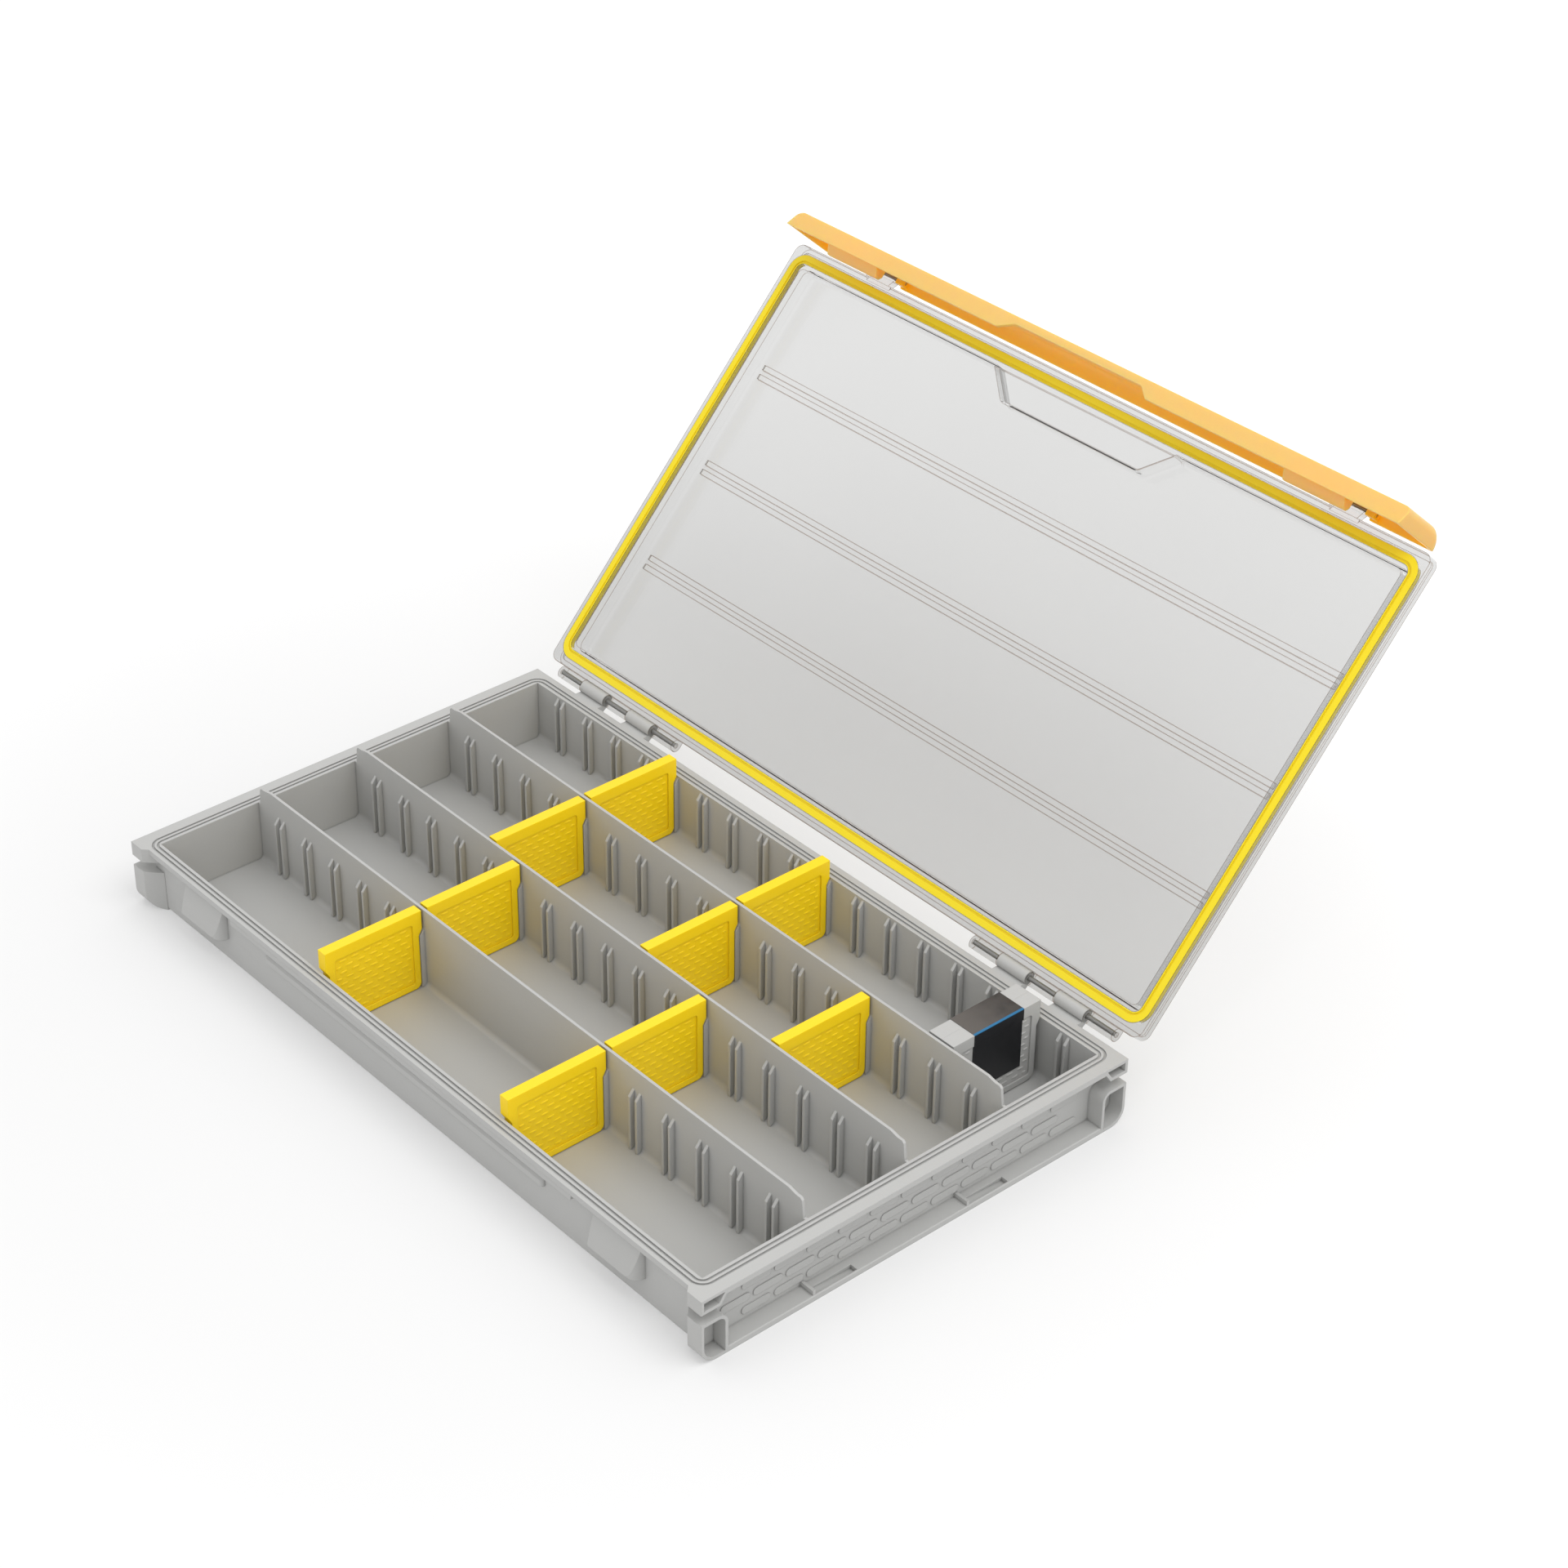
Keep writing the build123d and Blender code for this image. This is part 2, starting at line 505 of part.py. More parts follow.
# Tray
with BuildPart() as base_tray:
    with BuildSketch():
        with Locations((0, BAY_SHIFT)):
            Rectangle(BAY_LENGTH + 2 * WALL, BAY_WIDTH + 2 * WALL)
    extrude(amount=TRAY_HEIGHT)
    fillet(base_tray.faces().sort_by(Axis.Z)[0].edges().filter_by(Axis.X), FOOT_ROUND)
    with BuildSketch(Plane.XY.offset(RIM_UNDER_Z)):
        with Locations((0, RIM_FRONT_Y)):
            Rectangle(TRAY_LENGTH, HALF_WIDTH - RIM_FRONT_Y, align=(Align.CENTER, Align.MIN))
    extrude(amount=RIM_THICK)
    add(rim_bar.part)
    add(front_ledge.part)
    for centre in RAMP_CENTRES:
        with Locations((centre, 0, 0)):
            add(ramp.part)
    for block in (corner_block.part, end_shelf.part, end_pads.part):
        add(block)
        mirror(block, about=Plane.YZ)
    rear_block = mirror(corner_block.part, about=Plane.XZ)
    mirror(rear_block, about=Plane.YZ)
    add(block_pockets.part, mode=Mode.SUBTRACT)
    mirror(block_pockets.part, about=Plane.YZ, mode=Mode.SUBTRACT)
    rear_pockets = mirror(block_pockets.part, about=Plane.XZ, mode=Mode.SUBTRACT)
    mirror(rear_pockets, about=Plane.YZ, mode=Mode.SUBTRACT)
    for side in SIDES:
        for x in TRAY_KNUCKLES:
            with Locations((side * x, 0, 0)):
                add(tray_knuckle.part)
    for row in range(ROWS):
        with Locations((0, row_y(row), FLOOR)):
            add(row_hollow.part, mode=Mode.SUBTRACT)
    for y in PARTITION_YS:
        with BuildSketch(Plane.XZ.offset(-y)):
            with BuildLine():
                top_half = BAY_LENGTH / 2 - PARTITION_TAPER
                foot_half = BAY_LENGTH / 2 - PARTITION_FOOT
                corner_half = top_half - PARTITION_CORNER
                end_top = PARTITION_TOP - PARTITION_SAG
                Polyline(
                    (-BAY_LENGTH / 2 - EMBED, RIM_UNDER_Z),
                    (-BAY_LENGTH / 2 - EMBED, TRAY_HEIGHT - EMBED),
                    (-foot_half, TRAY_HEIGHT),
                    (-top_half, end_top - PARTITION_CORNER),
                    (-corner_half, end_top),
                    (SAG_END - BAY_LENGTH / 2, end_top),
                    (SAG_START - BAY_LENGTH / 2, PARTITION_TOP),
                    (BAY_LENGTH / 2 - SAG_START, PARTITION_TOP),
                    (BAY_LENGTH / 2 - SAG_END, end_top),
                    (corner_half, end_top),
                    (top_half, end_top - PARTITION_CORNER),
                    (foot_half, TRAY_HEIGHT),
                    (BAY_LENGTH / 2 + EMBED, TRAY_HEIGHT - EMBED),
                    (BAY_LENGTH / 2 + EMBED, RIM_UNDER_Z),
                    close=True,
                )
            make_face()
        extrude(amount=PARTITION / 2, both=True)
    every_slot = range(1, SLOTS + 1)
    rib_height = TRAY_HEIGHT - FLOOR + EMBED
    plain_bank = rib_bank(rib_height, every_slot)
    wall_bank = rib_bank(rib_height - WALL_RIB_DROP, every_slot)
    window_bank = rib_bank(rib_height, [slot for slot in every_slot if slot not in SMOOTH_SLOTS])
    for row in range(ROWS):
        front_bank = wall_bank if row == 0 else plain_bank
        rear_bank = {0: window_bank, ROWS - 1: wall_bank}.get(row, plain_bank)
        with Locations((0, row_y(row) - ROW_WIDTH / 2 - EMBED, FLOOR - EMBED)):
            add(front_bank)
        with Locations((0, row_y(row) + ROW_WIDTH / 2 + EMBED, FLOOR - EMBED)):
            add(rear_bank, rotation=(0, 0, 180))
    groove_plane = Plane.XY.offset(TRAY_HEIGHT)
    for side in SIDES:
        groove = bay_ring(groove_plane, RIDGE_OUT + side * (RIDGE_WIDTH + GROOVE_WIDTH) / 2, GROOVE_WIDTH)
        extrude(groove, amount=-GROOVE_DEPTH, mode=Mode.SUBTRACT)
base_tray.part.label = "base_tray"
export_step(base_tray.part, "parts/base_tray.step")


# The dome's outline: a rounded rectangle round the bay, less the window recess at the latch side
def dome_block(grow, low, high, round_top):
    with BuildPart() as dome:
        with BuildSketch(Plane.XY.offset(low)):
            with Locations((0, BAY_SHIFT)):
                RectangleRounded(BAY_LENGTH + 2 * grow, BAY_WIDTH + 2 * grow, DOME_CORNER + grow)
            inset = DOME_GROW - grow
            mouth_y = BAY_SHIFT - BAY_WIDTH / 2 - DOME_GROW
            lean = (NOTCH_MOUTH - NOTCH_FLOOR) / 2 / NOTCH_DEPTH
            side_shift = inset * sqrt(1 + lean**2)
            outside = 2 * GASKET_WIDTH
            with BuildLine():
                edge_half = NOTCH_MOUTH / 2 + side_shift + lean * outside
                deep_half = NOTCH_FLOOR / 2 + side_shift - lean * inset
                deep_y = mouth_y + NOTCH_DEPTH + inset
                FilletPolyline(
                    (-edge_half, mouth_y - outside),
                    (-deep_half, deep_y),
                    (deep_half, deep_y),
                    (edge_half, mouth_y - outside),
                    radius=NOTCH_ROUND + inset,
                )
                Line((edge_half, mouth_y - outside), (-edge_half, mouth_y - outside))
            make_face(mode=Mode.SUBTRACT)
        extrude(amount=high - low)
        fillet(dome.faces().sort_by(Axis.Z)[-1].edges(), round_top)
    return dome.part


# Clear knuckle on the lid, its middle at X=0
with BuildPart() as lid_knuckle:
    with BuildSketch(Plane.YZ):
        with Locations((LID_REAR - EMBED, HINGE_Z)):
            Rectangle(HINGE_Y - LID_REAR + EMBED, KNUCKLE_RADIUS, align=(Align.MIN, Align.MIN))
        with Locations((HINGE_Y, HINGE_Z)):
            Circle(KNUCKLE_RADIUS)
    extrude(amount=LID_KNUCKLE / 2, both=True)

# Clear lug on the lid's front edge, its middle at X=0, that carries a latch pin
with BuildPart() as latch_lug:
    with BuildSketch(Plane.YZ):
        with BuildLine():
            Polyline(
                (LATCH_PIVOT_Y, LATCH_PIVOT_Z + LUG_RADIUS),
                (LID_FRONT + BEAD_WIDTH / 2, FRAME_TOP_Z),
                (LID_FRONT + BEAD_WIDTH / 2, FLANGE_UNDER_Z),
                (LATCH_PIVOT_Y, LATCH_PIVOT_Z - LUG_RADIUS),
                close=True,
            )
        make_face()
        with Locations((LATCH_PIVOT_Y, LATCH_PIVOT_Z)):
            Circle(LUG_RADIUS)
            Circle(LATCH_PIN_RADIUS + RUNNING_FIT, mode=Mode.SUBTRACT)
    extrude(amount=LUG_WIDTH / 2, both=True)


# Lid, closed
with BuildPart() as lid_closed:
    lid_depth = LID_REAR - LID_FRONT
    lid_middle = (LID_REAR + LID_FRONT) / 2
    with BuildSketch(Plane.XY.offset(LID_UNDER_Z)):
        with Locations((0, lid_middle)):
            RectangleRounded(2 * LID_HALF, lid_depth, LID_CORNER)
    extrude(amount=FLANGE_TOP_Z - LID_UNDER_Z)
    with BuildSketch(Plane.XY.offset(FLANGE_TOP_Z)):
        with Locations((0, lid_middle)):
            RectangleRounded(2 * LID_HALF, lid_depth, LID_CORNER)
            RectangleRounded(
                2 * (LID_HALF - BEAD_WIDTH),
                lid_depth - 2 * BEAD_WIDTH,
                LID_CORNER - BEAD_WIDTH,
                mode=Mode.SUBTRACT,
            )
    extrude(amount=BEAD_HEIGHT)
    add(dome_block(DOME_GROW, FLANGE_UNDER_Z, LID_TOP_Z, DOME_ROUND))
    dome_inner_grow = DOME_GROW - DOME_WALL
    add(
        dome_block(dome_inner_grow, FLANGE_UNDER_Z, PANEL_UNDER_Z, DOME_ROUND - DOME_WALL),
        mode=Mode.SUBTRACT,
    )
    with BuildSketch(Plane.XY.offset(LID_UNDER_Z)):
        with Locations((0, BAY_SHIFT)):
            RectangleRounded(
                BAY_LENGTH + 2 * dome_inner_grow,
                BAY_WIDTH + 2 * dome_inner_grow,
                DOME_CORNER + dome_inner_grow,
            )
    extrude(amount=GASKET_HEIGHT, mode=Mode.SUBTRACT)
    channel_width = GASKET_WIDTH + 2 * GASKET_FIT
    channel = bay_ring(Plane.XY.offset(LID_UNDER_Z), GASKET_OUT, channel_width)
    extrude(channel, amount=GASKET_HEIGHT, mode=Mode.SUBTRACT)
    with BuildSketch(Plane.XY.offset(PANEL_UNDER_Z - LID_RIB)):
        for y in PARTITION_YS:
            for side in SIDES:
                with Locations((0, y + side * LID_RIB_SPREAD / 2)):
                    Rectangle(2 * LID_RIB_HALF, LID_RIB_WIDTH)
    extrude(amount=LID_RIB + EMBED)
    for side in SIDES:
        for x in LID_KNUCKLES:
            with Locations((side * x, 0, 0)):
                add(lid_knuckle.part)
        with Locations((side * LUG_CENTRE, 0, 0)):
            add(latch_lug.part)
        for x in TRAY_KNUCKLES:
            with Locations(Location((side * x, HINGE_Y, HINGE_Z), (0, 90, 0))):
                relief = KNUCKLE_PITCH - LID_KNUCKLE
                Cylinder(KNUCKLE_RADIUS + KNUCKLE_GAP, relief, mode=Mode.SUBTRACT)
        hinge_middle = side * (KNUCKLE_FIRST + KNUCKLE_LAST) / 2
        with Locations(Location((hinge_middle, HINGE_Y, HINGE_Z), (0, 90, 0))):
            bore_length = KNUCKLE_LAST - KNUCKLE_FIRST + 2 * LID_KNUCKLE
            Cylinder(PIN_RADIUS + RUNNING_FIT, bore_length, mode=Mode.SUBTRACT)

# Seal gasket, closed, with the crease that meets the ridge
with BuildPart() as gasket_closed:
    extrude(bay_ring(Plane.XY.offset(LID_UNDER_Z), GASKET_OUT, GASKET_WIDTH), amount=GASKET_HEIGHT)
    crease = bay_ring(Plane.XY.offset(LID_UNDER_Z), RIDGE_OUT, CREASE_WIDTH)
    extrude(crease, amount=CREASE_DEPTH, mode=Mode.SUBTRACT)


# The latch's outer side outline; its open side can be carried on past the foot and the brow
def latch_outline(carry_on):
    run_y = LATCH_FOOT_Y - LATCH_TOE_Y
    run_z = LATCH_FOOT_Z - LATCH_TOE_Z
    run = sqrt(run_y**2 + run_z**2)
    foot = (LATCH_FOOT_Y + carry_on * run_y / run, LATCH_FOOT_Z + carry_on * run_z / run)
    shoulder = (LATCH_FRONT_Y, LATCH_SHOULDER_Z)
    reach = LATCH_BROW_Y - LATCH_FRONT_Y
    brow_z = LATCH_SHOULDER_Z + sqrt(LATCH_ROUND**2 - (LATCH_ROUND - reach) ** 2)
    brow = (LATCH_BROW_Y, brow_z)
    end = (LATCH_BROW_Y + carry_on, brow_z)
    with BuildSketch(Plane.YZ) as outline:
        with BuildLine():
            Polyline(foot, (LATCH_TOE_Y, LATCH_TOE_Z), shoulder)
            RadiusArc(shoulder, brow, LATCH_ROUND)
            if carry_on:
                Line(brow, end)
            Line(end, foot)
        make_face()
        if carry_on:
            offset(amount=-LATCH_WALL, kind=Kind.INTERSECTION, mode=Mode.REPLACE)
    return outline.sketch


# Latch bar, closed
with BuildPart() as latch_closed:
    extrude(latch_outline(0), amount=LATCH_HALF, both=True)
    front_edges = latch_closed.edges().filter_by(lambda edge: edge.bounding_box().size.X < EMBED)
    outer_edges = front_edges.filter_by(lambda edge: edge.center().Y < LATCH_TOE_Y + LATCH_ROUND / 2)
    fillet(outer_edges.filter_by(lambda edge: edge.center().Z > LATCH_TOE_Z), LATCH_END_ROUND)
    extrude(latch_outline(2 * LATCH_WALL), amount=LATCH_HALF - LATCH_WALL, both=True, mode=Mode.SUBTRACT)
    with BuildSketch(Plane.XY.offset(LATCH_FOOT_Z - LATCH_WALL)):
        with BuildLine():
            notch_lean = (FINGER_MOUTH - FINGER_FLOOR) / 2 / FINGER_DEPTH
            notch_outside = LATCH_WALL
            FilletPolyline(
                (-FINGER_MOUTH / 2 - notch_lean * notch_outside, LATCH_FOOT_Y + notch_outside),
                (-FINGER_FLOOR / 2, LATCH_FOOT_Y - FINGER_DEPTH),
                (FINGER_FLOOR / 2, LATCH_FOOT_Y - FINGER_DEPTH),
                (FINGER_MOUTH / 2 + notch_lean * notch_outside, LATCH_FOOT_Y + notch_outside),
                radius=LATCH_END_ROUND,
            )
            Line(
                (FINGER_MOUTH / 2 + notch_lean * notch_outside, LATCH_FOOT_Y + notch_outside),
                (-FINGER_MOUTH / 2 - notch_lean * notch_outside, LATCH_FOOT_Y + notch_outside),
            )
        make_face()
    extrude(amount=LATCH_ROUND, mode=Mode.SUBTRACT)
    for side in SIDES:
        with BuildSketch(Plane.YZ.offset(side * HOOK_CENTRE)):
            with BuildLine():
                inner_face = LATCH_FRONT_Y + LATCH_WALL / 2
                Polyline(
                    (inner_face, LATCH_TOE_Z + LATCH_WALL / 2),
                    (inner_face, HOOK_TOP_Z),
                    (HOOK_TIP_Y - HOOK_WALL, HOOK_TOP_Z),
                    (HOOK_TIP_Y, HOOK_TOP_Z - HOOK_WALL),
                    (HOOK_TIP_Y, HOOK_LOW_Z),
                    (LATCH_FOOT_Y, LATCH_FOOT_Z + LATCH_WALL / 2),
                    close=True,
                )
            make_face()
        extrude(amount=HOOK_WIDTH / 2, both=True)
        pocket = HOOK_WIDTH / 2 - 2 * HOOK_WALL
        with Locations((side * HOOK_CENTRE, HOOK_TIP_Y - HOOK_WALL, HOOK_TOP_Z)):
            with GridLocations(pocket + 2 * HOOK_WALL, 1, 2, 1):
                Box(
                    pocket,
                    HOOK_TIP_Y - HOOK_WALL - LATCH_FRONT_Y - LATCH_WALL - HOOK_WALL,
                    HOOK_TOP_Z - HOOK_LOW_Z,
                    align=(Align.CENTER, Align.MAX, Align.MAX),
                    mode=Mode.SUBTRACT,
                )
        with Locations((side * LUG_CENTRE, LATCH_PIVOT_Y, LATCH_PIVOT_Z)):
            with GridLocations(LUG_WIDTH + 2 * LUG_SIDE_GAP + EAR, 1, 2, 1):
                with Locations((0, EAR_INNER, -EAR_LOW)):
                    Box(
                        EAR,
                        LATCH_PIVOT_Y + EAR_INNER - LATCH_FRONT_Y - LATCH_WALL / 2,
                        2 * EAR_LOW,
                        align=(Align.CENTER, Align.MAX, Align.MIN),
                    )
            with Locations((0, -EAR_LOW, -EAR_LOW - EMBED)):
                Box(
                    LUG_WIDTH + 2 * LUG_SIDE_GAP,
                    2 * LATCH_ROUND,
                    2 * LATCH_ROUND,
                    align=(Align.CENTER, Align.MIN, Align.MIN),
                    mode=Mode.SUBTRACT,
                )
        with Locations(Location((side * LUG_CENTRE, LATCH_PIVOT_Y, LATCH_PIVOT_Z), (0, 90, 0))):
            Cylinder(LATCH_PIN_RADIUS, LUG_WIDTH + 2 * (LUG_SIDE_GAP + EAR), mode=Mode.SUBTRACT)

# The open place of whatever is modelled closed
turn = radians(LID_OPEN)
open_y = HINGE_Y - HINGE_Y * cos(turn) - HINGE_Z * sin(turn)
open_z = HINGE_Z + HINGE_Y * sin(turn) - HINGE_Z * cos(turn)
OPEN_PLACE = Location((0, open_y, open_z), (-LID_OPEN, 0, 0))

with BuildPart() as lid:
    with Locations(OPEN_PLACE):
        add(lid_closed.part)
lid.part.label = "lid"
export_step(lid.part, "parts/lid.step")

with BuildPart() as lid_gasket:
    with Locations(OPEN_PLACE):
        add(gasket_closed.part)
lid_gasket.part.label = "lid_gasket"
export_step(lid_gasket.part, "parts/lid_gasket.step")

with BuildPart() as latch:
    with Locations(OPEN_PLACE):
        add(latch_closed.part)
latch.part.label = "latch"
export_step(latch.part, "parts/latch.step")

# Steel pins: two in the hinge, pressed in the grey knuckles, and two in the latch, pressed in its ears
for side, side_name in zip(SIDES, ("left", "right")):
    with BuildPart() as hinge_pin:
        with Locations(Location((side * (KNUCKLE_FIRST + KNUCKLE_LAST) / 2, HINGE_Y, HINGE_Z), (0, 90, 0))):
            Cylinder(PIN_RADIUS, KNUCKLE_LAST - KNUCKLE_FIRST + LID_KNUCKLE - 2 * KNUCKLE_GAP)
    hinge_pin.part.label = f"hinge_pin_{side_name}"
    export_step(hinge_pin.part, f"parts/hinge_pin_{side_name}.step")
    with BuildPart() as latch_pin:
        with Locations(OPEN_PLACE * Location((side * LUG_CENTRE, LATCH_PIVOT_Y, LATCH_PIVOT_Z), (0, 90, 0))):
            Cylinder(LATCH_PIN_RADIUS, LUG_WIDTH + 2 * (LUG_SIDE_GAP + EAR - KNUCKLE_GAP))
    latch_pin.part.label = f"latch_pin_{side_name}"
    export_step(latch_pin.part, f"parts/latch_pin_{side_name}.step")


# A divider's side outline in its row: wide ears over the ribs, a step, and a body between the ribs
def divider_outline(step_top, step_low, corner, shrink=0):
    wide = ROW_WIDTH / 2 - DIVIDER_END_GAP - shrink
    narrow = ROW_WIDTH / 2 - RIB_PROUD - TONGUE_GAP - shrink
    low = FLOOR + DIVIDER_FLOOR_GAP + shrink
    high = PARTITION_TOP - shrink
    with BuildSketch(Plane.YZ) as outline:
        with BuildLine():
            Polyline(
                (-narrow, low),
                (narrow, low),
                (narrow, step_low),
                (wide, step_top),
                (wide, high),
                (-wide, high),
                (-wide, step_top),
                (-narrow, step_low),
                close=True,
            )
        make_face()
        fillet(outline.vertices().group_by(Axis.Y)[0], corner)
    return outline.sketch


# Thin tongues that run in the slots at both ends of a divider
def divider_tongues():
    with BuildSketch(Plane.YZ) as tongues:
        with Locations((0, FLOOR + FLOOR_FILLET + DIVIDER_FLOOR_GAP)):
            Rectangle(
                ROW_WIDTH - 2 * TONGUE_GAP,
                DIVIDER_STEP_LOW - FLOOR - FLOOR_FILLET - DIVIDER_FLOOR_GAP - RIB_SLOPE,
                align=(Align.CENTER, Align.MIN),
            )
    return tongues.sketch


DIVIDER_STEP_TOP = TRAY_HEIGHT + DIVIDER_STEP_GAP
DIVIDER_STEP_LOW = DIVIDER_STEP_TOP - RIB_SLOPE


# The sunk panel of a divider's face, drawn on a plane that faces along X
def sunk_panel(plane):
    panel_low = FLOOR + DIVIDER_FLOOR_GAP + FRAME_BORDER
    panel_high = PARTITION_TOP - FRAME_TOP
    with BuildSketch(plane) as panel:
        with Locations((0, (panel_low + panel_high) / 2)):
            panel_half = ROW_WIDTH / 2 - RIB_PROUD - TONGUE_GAP - FRAME_BORDER
            RectangleRounded(2 * panel_half, panel_high - panel_low, 2 * FRAME_RECESS)
    return panel.sketch


# Cross divider, its middle at X=0, Y=0: a framed plate with a sunk panel on both faces
with BuildPart() as cross_divider:
    divider_face = divider_outline(DIVIDER_STEP_TOP, DIVIDER_STEP_LOW, DIVIDER_CORNER)
    extrude(divider_face, amount=DIVIDER_THICK / 2, both=True)
    extrude(divider_tongues(), amount=TONGUE / 2, both=True)
    for side in SIDES:
        face_panel = sunk_panel(Plane.YZ.offset(side * DIVIDER_THICK / 2))
        extrude(face_panel, amount=-side * FRAME_RECESS, mode=Mode.SUBTRACT)

for row, slots in enumerate(DIVIDER_SLOTS):
    for slot in slots:
        with BuildPart() as divider:
            with Locations((slot_x(slot), row_y(row), 0)):
                add(cross_divider.part)
        divider.part.label = f"divider_row{row + 1}_slot{slot}"
        export_step(divider.part, f"parts/{divider.part.label}.step")

# Drying divider: two half shells with tongues, a moisture-absorbing block inside and a label over the top
DRYER_X = slot_x(DRYER_SLOT)
DRYER_Y = row_y(DRYER_ROW)
dryer_face = divider_outline(DRYER_STEP_TOP, DRYER_STEP_LOW, DRYER_CORNER)
inner_corner = DRYER_CORNER - DRYER_WALL
with BuildPart() as dryer_hollow:
    inner_face = divider_outline(DRYER_STEP_TOP, DRYER_STEP_LOW, inner_corner, DRYER_WALL)
    extrude(inner_face, amount=DRYER_THICK / 2 - DRYER_WALL, both=True)
for side, side_name in zip(SIDES, ("left", "right")):
    with BuildPart() as dryer_half:
        extrude(dryer_face, amount=side * DRYER_THICK / 2)
        extrude(divider_tongues(), amount=side * TONGUE / 2)
        face_panel = sunk_panel(Plane.YZ.offset(side * DRYER_THICK / 2))
        extrude(face_panel, amount=-side * FRAME_RECESS, mode=Mode.SUBTRACT)
        add(dryer_hollow.part, mode=Mode.SUBTRACT)
    with BuildPart() as dryer_shell:
        with Locations((DRYER_X, DRYER_Y, 0)):
            add(dryer_half.part)
    dryer_shell.part.label = f"drying_divider_shell_{side_name}"
    export_step(dryer_shell.part, f"parts/{dryer_shell.part.label}.step")

with BuildPart() as dryer_filling:
    block_shrink = DRYER_WALL + DRYER_BLOCK_GAP
    block_face = divider_outline(DRYER_STEP_TOP, DRYER_STEP_LOW, inner_corner, block_shrink)
    extrude(block_face, amount=DRYER_THICK / 2 - block_shrink, both=True)

with BuildPart() as dryer_block:
    with Locations((DRYER_X, DRYER_Y, 0)):
        add(dryer_filling.part)
dryer_block.part.label = "drying_block"
export_step(dryer_block.part, "parts/drying_block.step")


# Half of the label's outline across the drying divider, a given distance off its surface
def label_outline(off, top):
    flank = DRYER_THICK / 2 + off
    step_z = PARTITION_TOP - FRAME_TOP
    return [
        (0, top),
        (flank, top),
        (flank, step_z),
        (flank - FRAME_RECESS, step_z - FRAME_RECESS),
        (flank - FRAME_RECESS, LABEL_LOW_Z),
    ]


with BuildPart() as label_half:
    with BuildSketch(Plane.XZ):
        with BuildLine():
            outer_line = label_outline(LABEL_THICK, PARTITION_TOP + LABEL_THICK)
            inner_line = label_outline(0, PARTITION_TOP)
            Polyline(*outer_line, *reversed(inner_line), close=True)
        make_face()
    extrude(amount=LABEL_WIDTH / 2, both=True)
    mirror(about=Plane.YZ)

with BuildPart() as dryer_label:
    with Locations((DRYER_X, DRYER_Y + LABEL_SHIFT, 0)):
        add(label_half.part)
dryer_label.part.label = "drying_divider_label"
export_step(dryer_label.part, "parts/drying_divider_label.step")
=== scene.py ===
"""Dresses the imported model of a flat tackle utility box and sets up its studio.

Lengths in the classes are in millimetres, and become metres where a mesh or a node takes them. The
studio's floor, lamp and clipping are in metres.
"""

import json
import logging
import math
from collections.abc import Iterable
from dataclasses import dataclass, field
from enum import Enum

import bpy
import numpy as np
from mathutils import Matrix, Vector


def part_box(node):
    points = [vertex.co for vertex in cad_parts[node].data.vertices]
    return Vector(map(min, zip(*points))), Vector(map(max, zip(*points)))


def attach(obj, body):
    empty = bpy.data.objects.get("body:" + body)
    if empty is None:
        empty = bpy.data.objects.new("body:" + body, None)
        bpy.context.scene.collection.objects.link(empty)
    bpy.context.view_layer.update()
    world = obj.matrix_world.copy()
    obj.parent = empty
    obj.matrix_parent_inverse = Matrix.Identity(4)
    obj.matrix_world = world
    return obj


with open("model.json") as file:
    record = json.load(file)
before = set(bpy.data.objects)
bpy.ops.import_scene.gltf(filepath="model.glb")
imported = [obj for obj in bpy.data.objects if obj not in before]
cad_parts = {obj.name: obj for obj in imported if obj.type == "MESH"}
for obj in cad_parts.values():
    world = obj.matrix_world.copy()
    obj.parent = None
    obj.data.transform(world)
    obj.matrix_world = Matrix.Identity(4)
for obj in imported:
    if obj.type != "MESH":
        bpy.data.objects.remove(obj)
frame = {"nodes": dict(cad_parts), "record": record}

log = logging.getLogger("tackle_box")

MM = 0.001
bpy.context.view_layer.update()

Pair = tuple[float, float]
Triple = tuple[float, float, float]
Socket = bpy.types.NodeSocket
Value = float | Socket

# Types of a group's sockets.
NUMBER = "NodeSocketFloat"
COLOUR = "NodeSocketColor"
VECTOR = "NodeSocketVector"

# A Mix node has sockets for each kind of value; these are the ones that it uses for colours.
MIX_FACTOR = 0
MIX_FIRST = 6
MIX_SECOND = 7
MIX_RESULT = 2

# Rays that a Bevel or Ambient Occlusion node sends out from each point.
PROBE_RAYS = 6

NOISE_MIDDLE = 0.5

# Half width and low edge of a label that isn't there.
NO_LABEL = (-1.0, math.inf)


class Slot(Enum):
    """Material slots of the record."""

    GREY = "grey_plastic"
    CLEAR = "clear_plastic"
    AMBER = "amber_plastic"
    YELLOW = "yellow_plastic"
    DRYER = "dryer_plastic"
    GRAINS = "drying_granules"
    LABEL = "label_film"
    SEAL = "seal_rubber"
    STEEL = "pin_steel"


Finishes = dict[Slot, bpy.types.Material]


def linear(red: int, green: int, blue: int) -> Triple:
    """Turns a colour as a screen shows it into linear light.

    A part s up to 0.04045 becomes s / 12.92, and a larger one ((s + 0.055) / 1.055) to the power
    of 2.4.

    Args:
        red: Red from 0 to 255.
        green: Green from 0 to 255.
        blue: Blue from 0 to 255.

    Returns:
        The same colour in linear light.
    """
    screen = np.array([red, green, blue]) / 255.0
    light = np.where(screen <= 0.04045, screen / 12.92, ((screen + 0.055) / 1.055) ** 2.4)
    return tuple(float(part) for part in light)


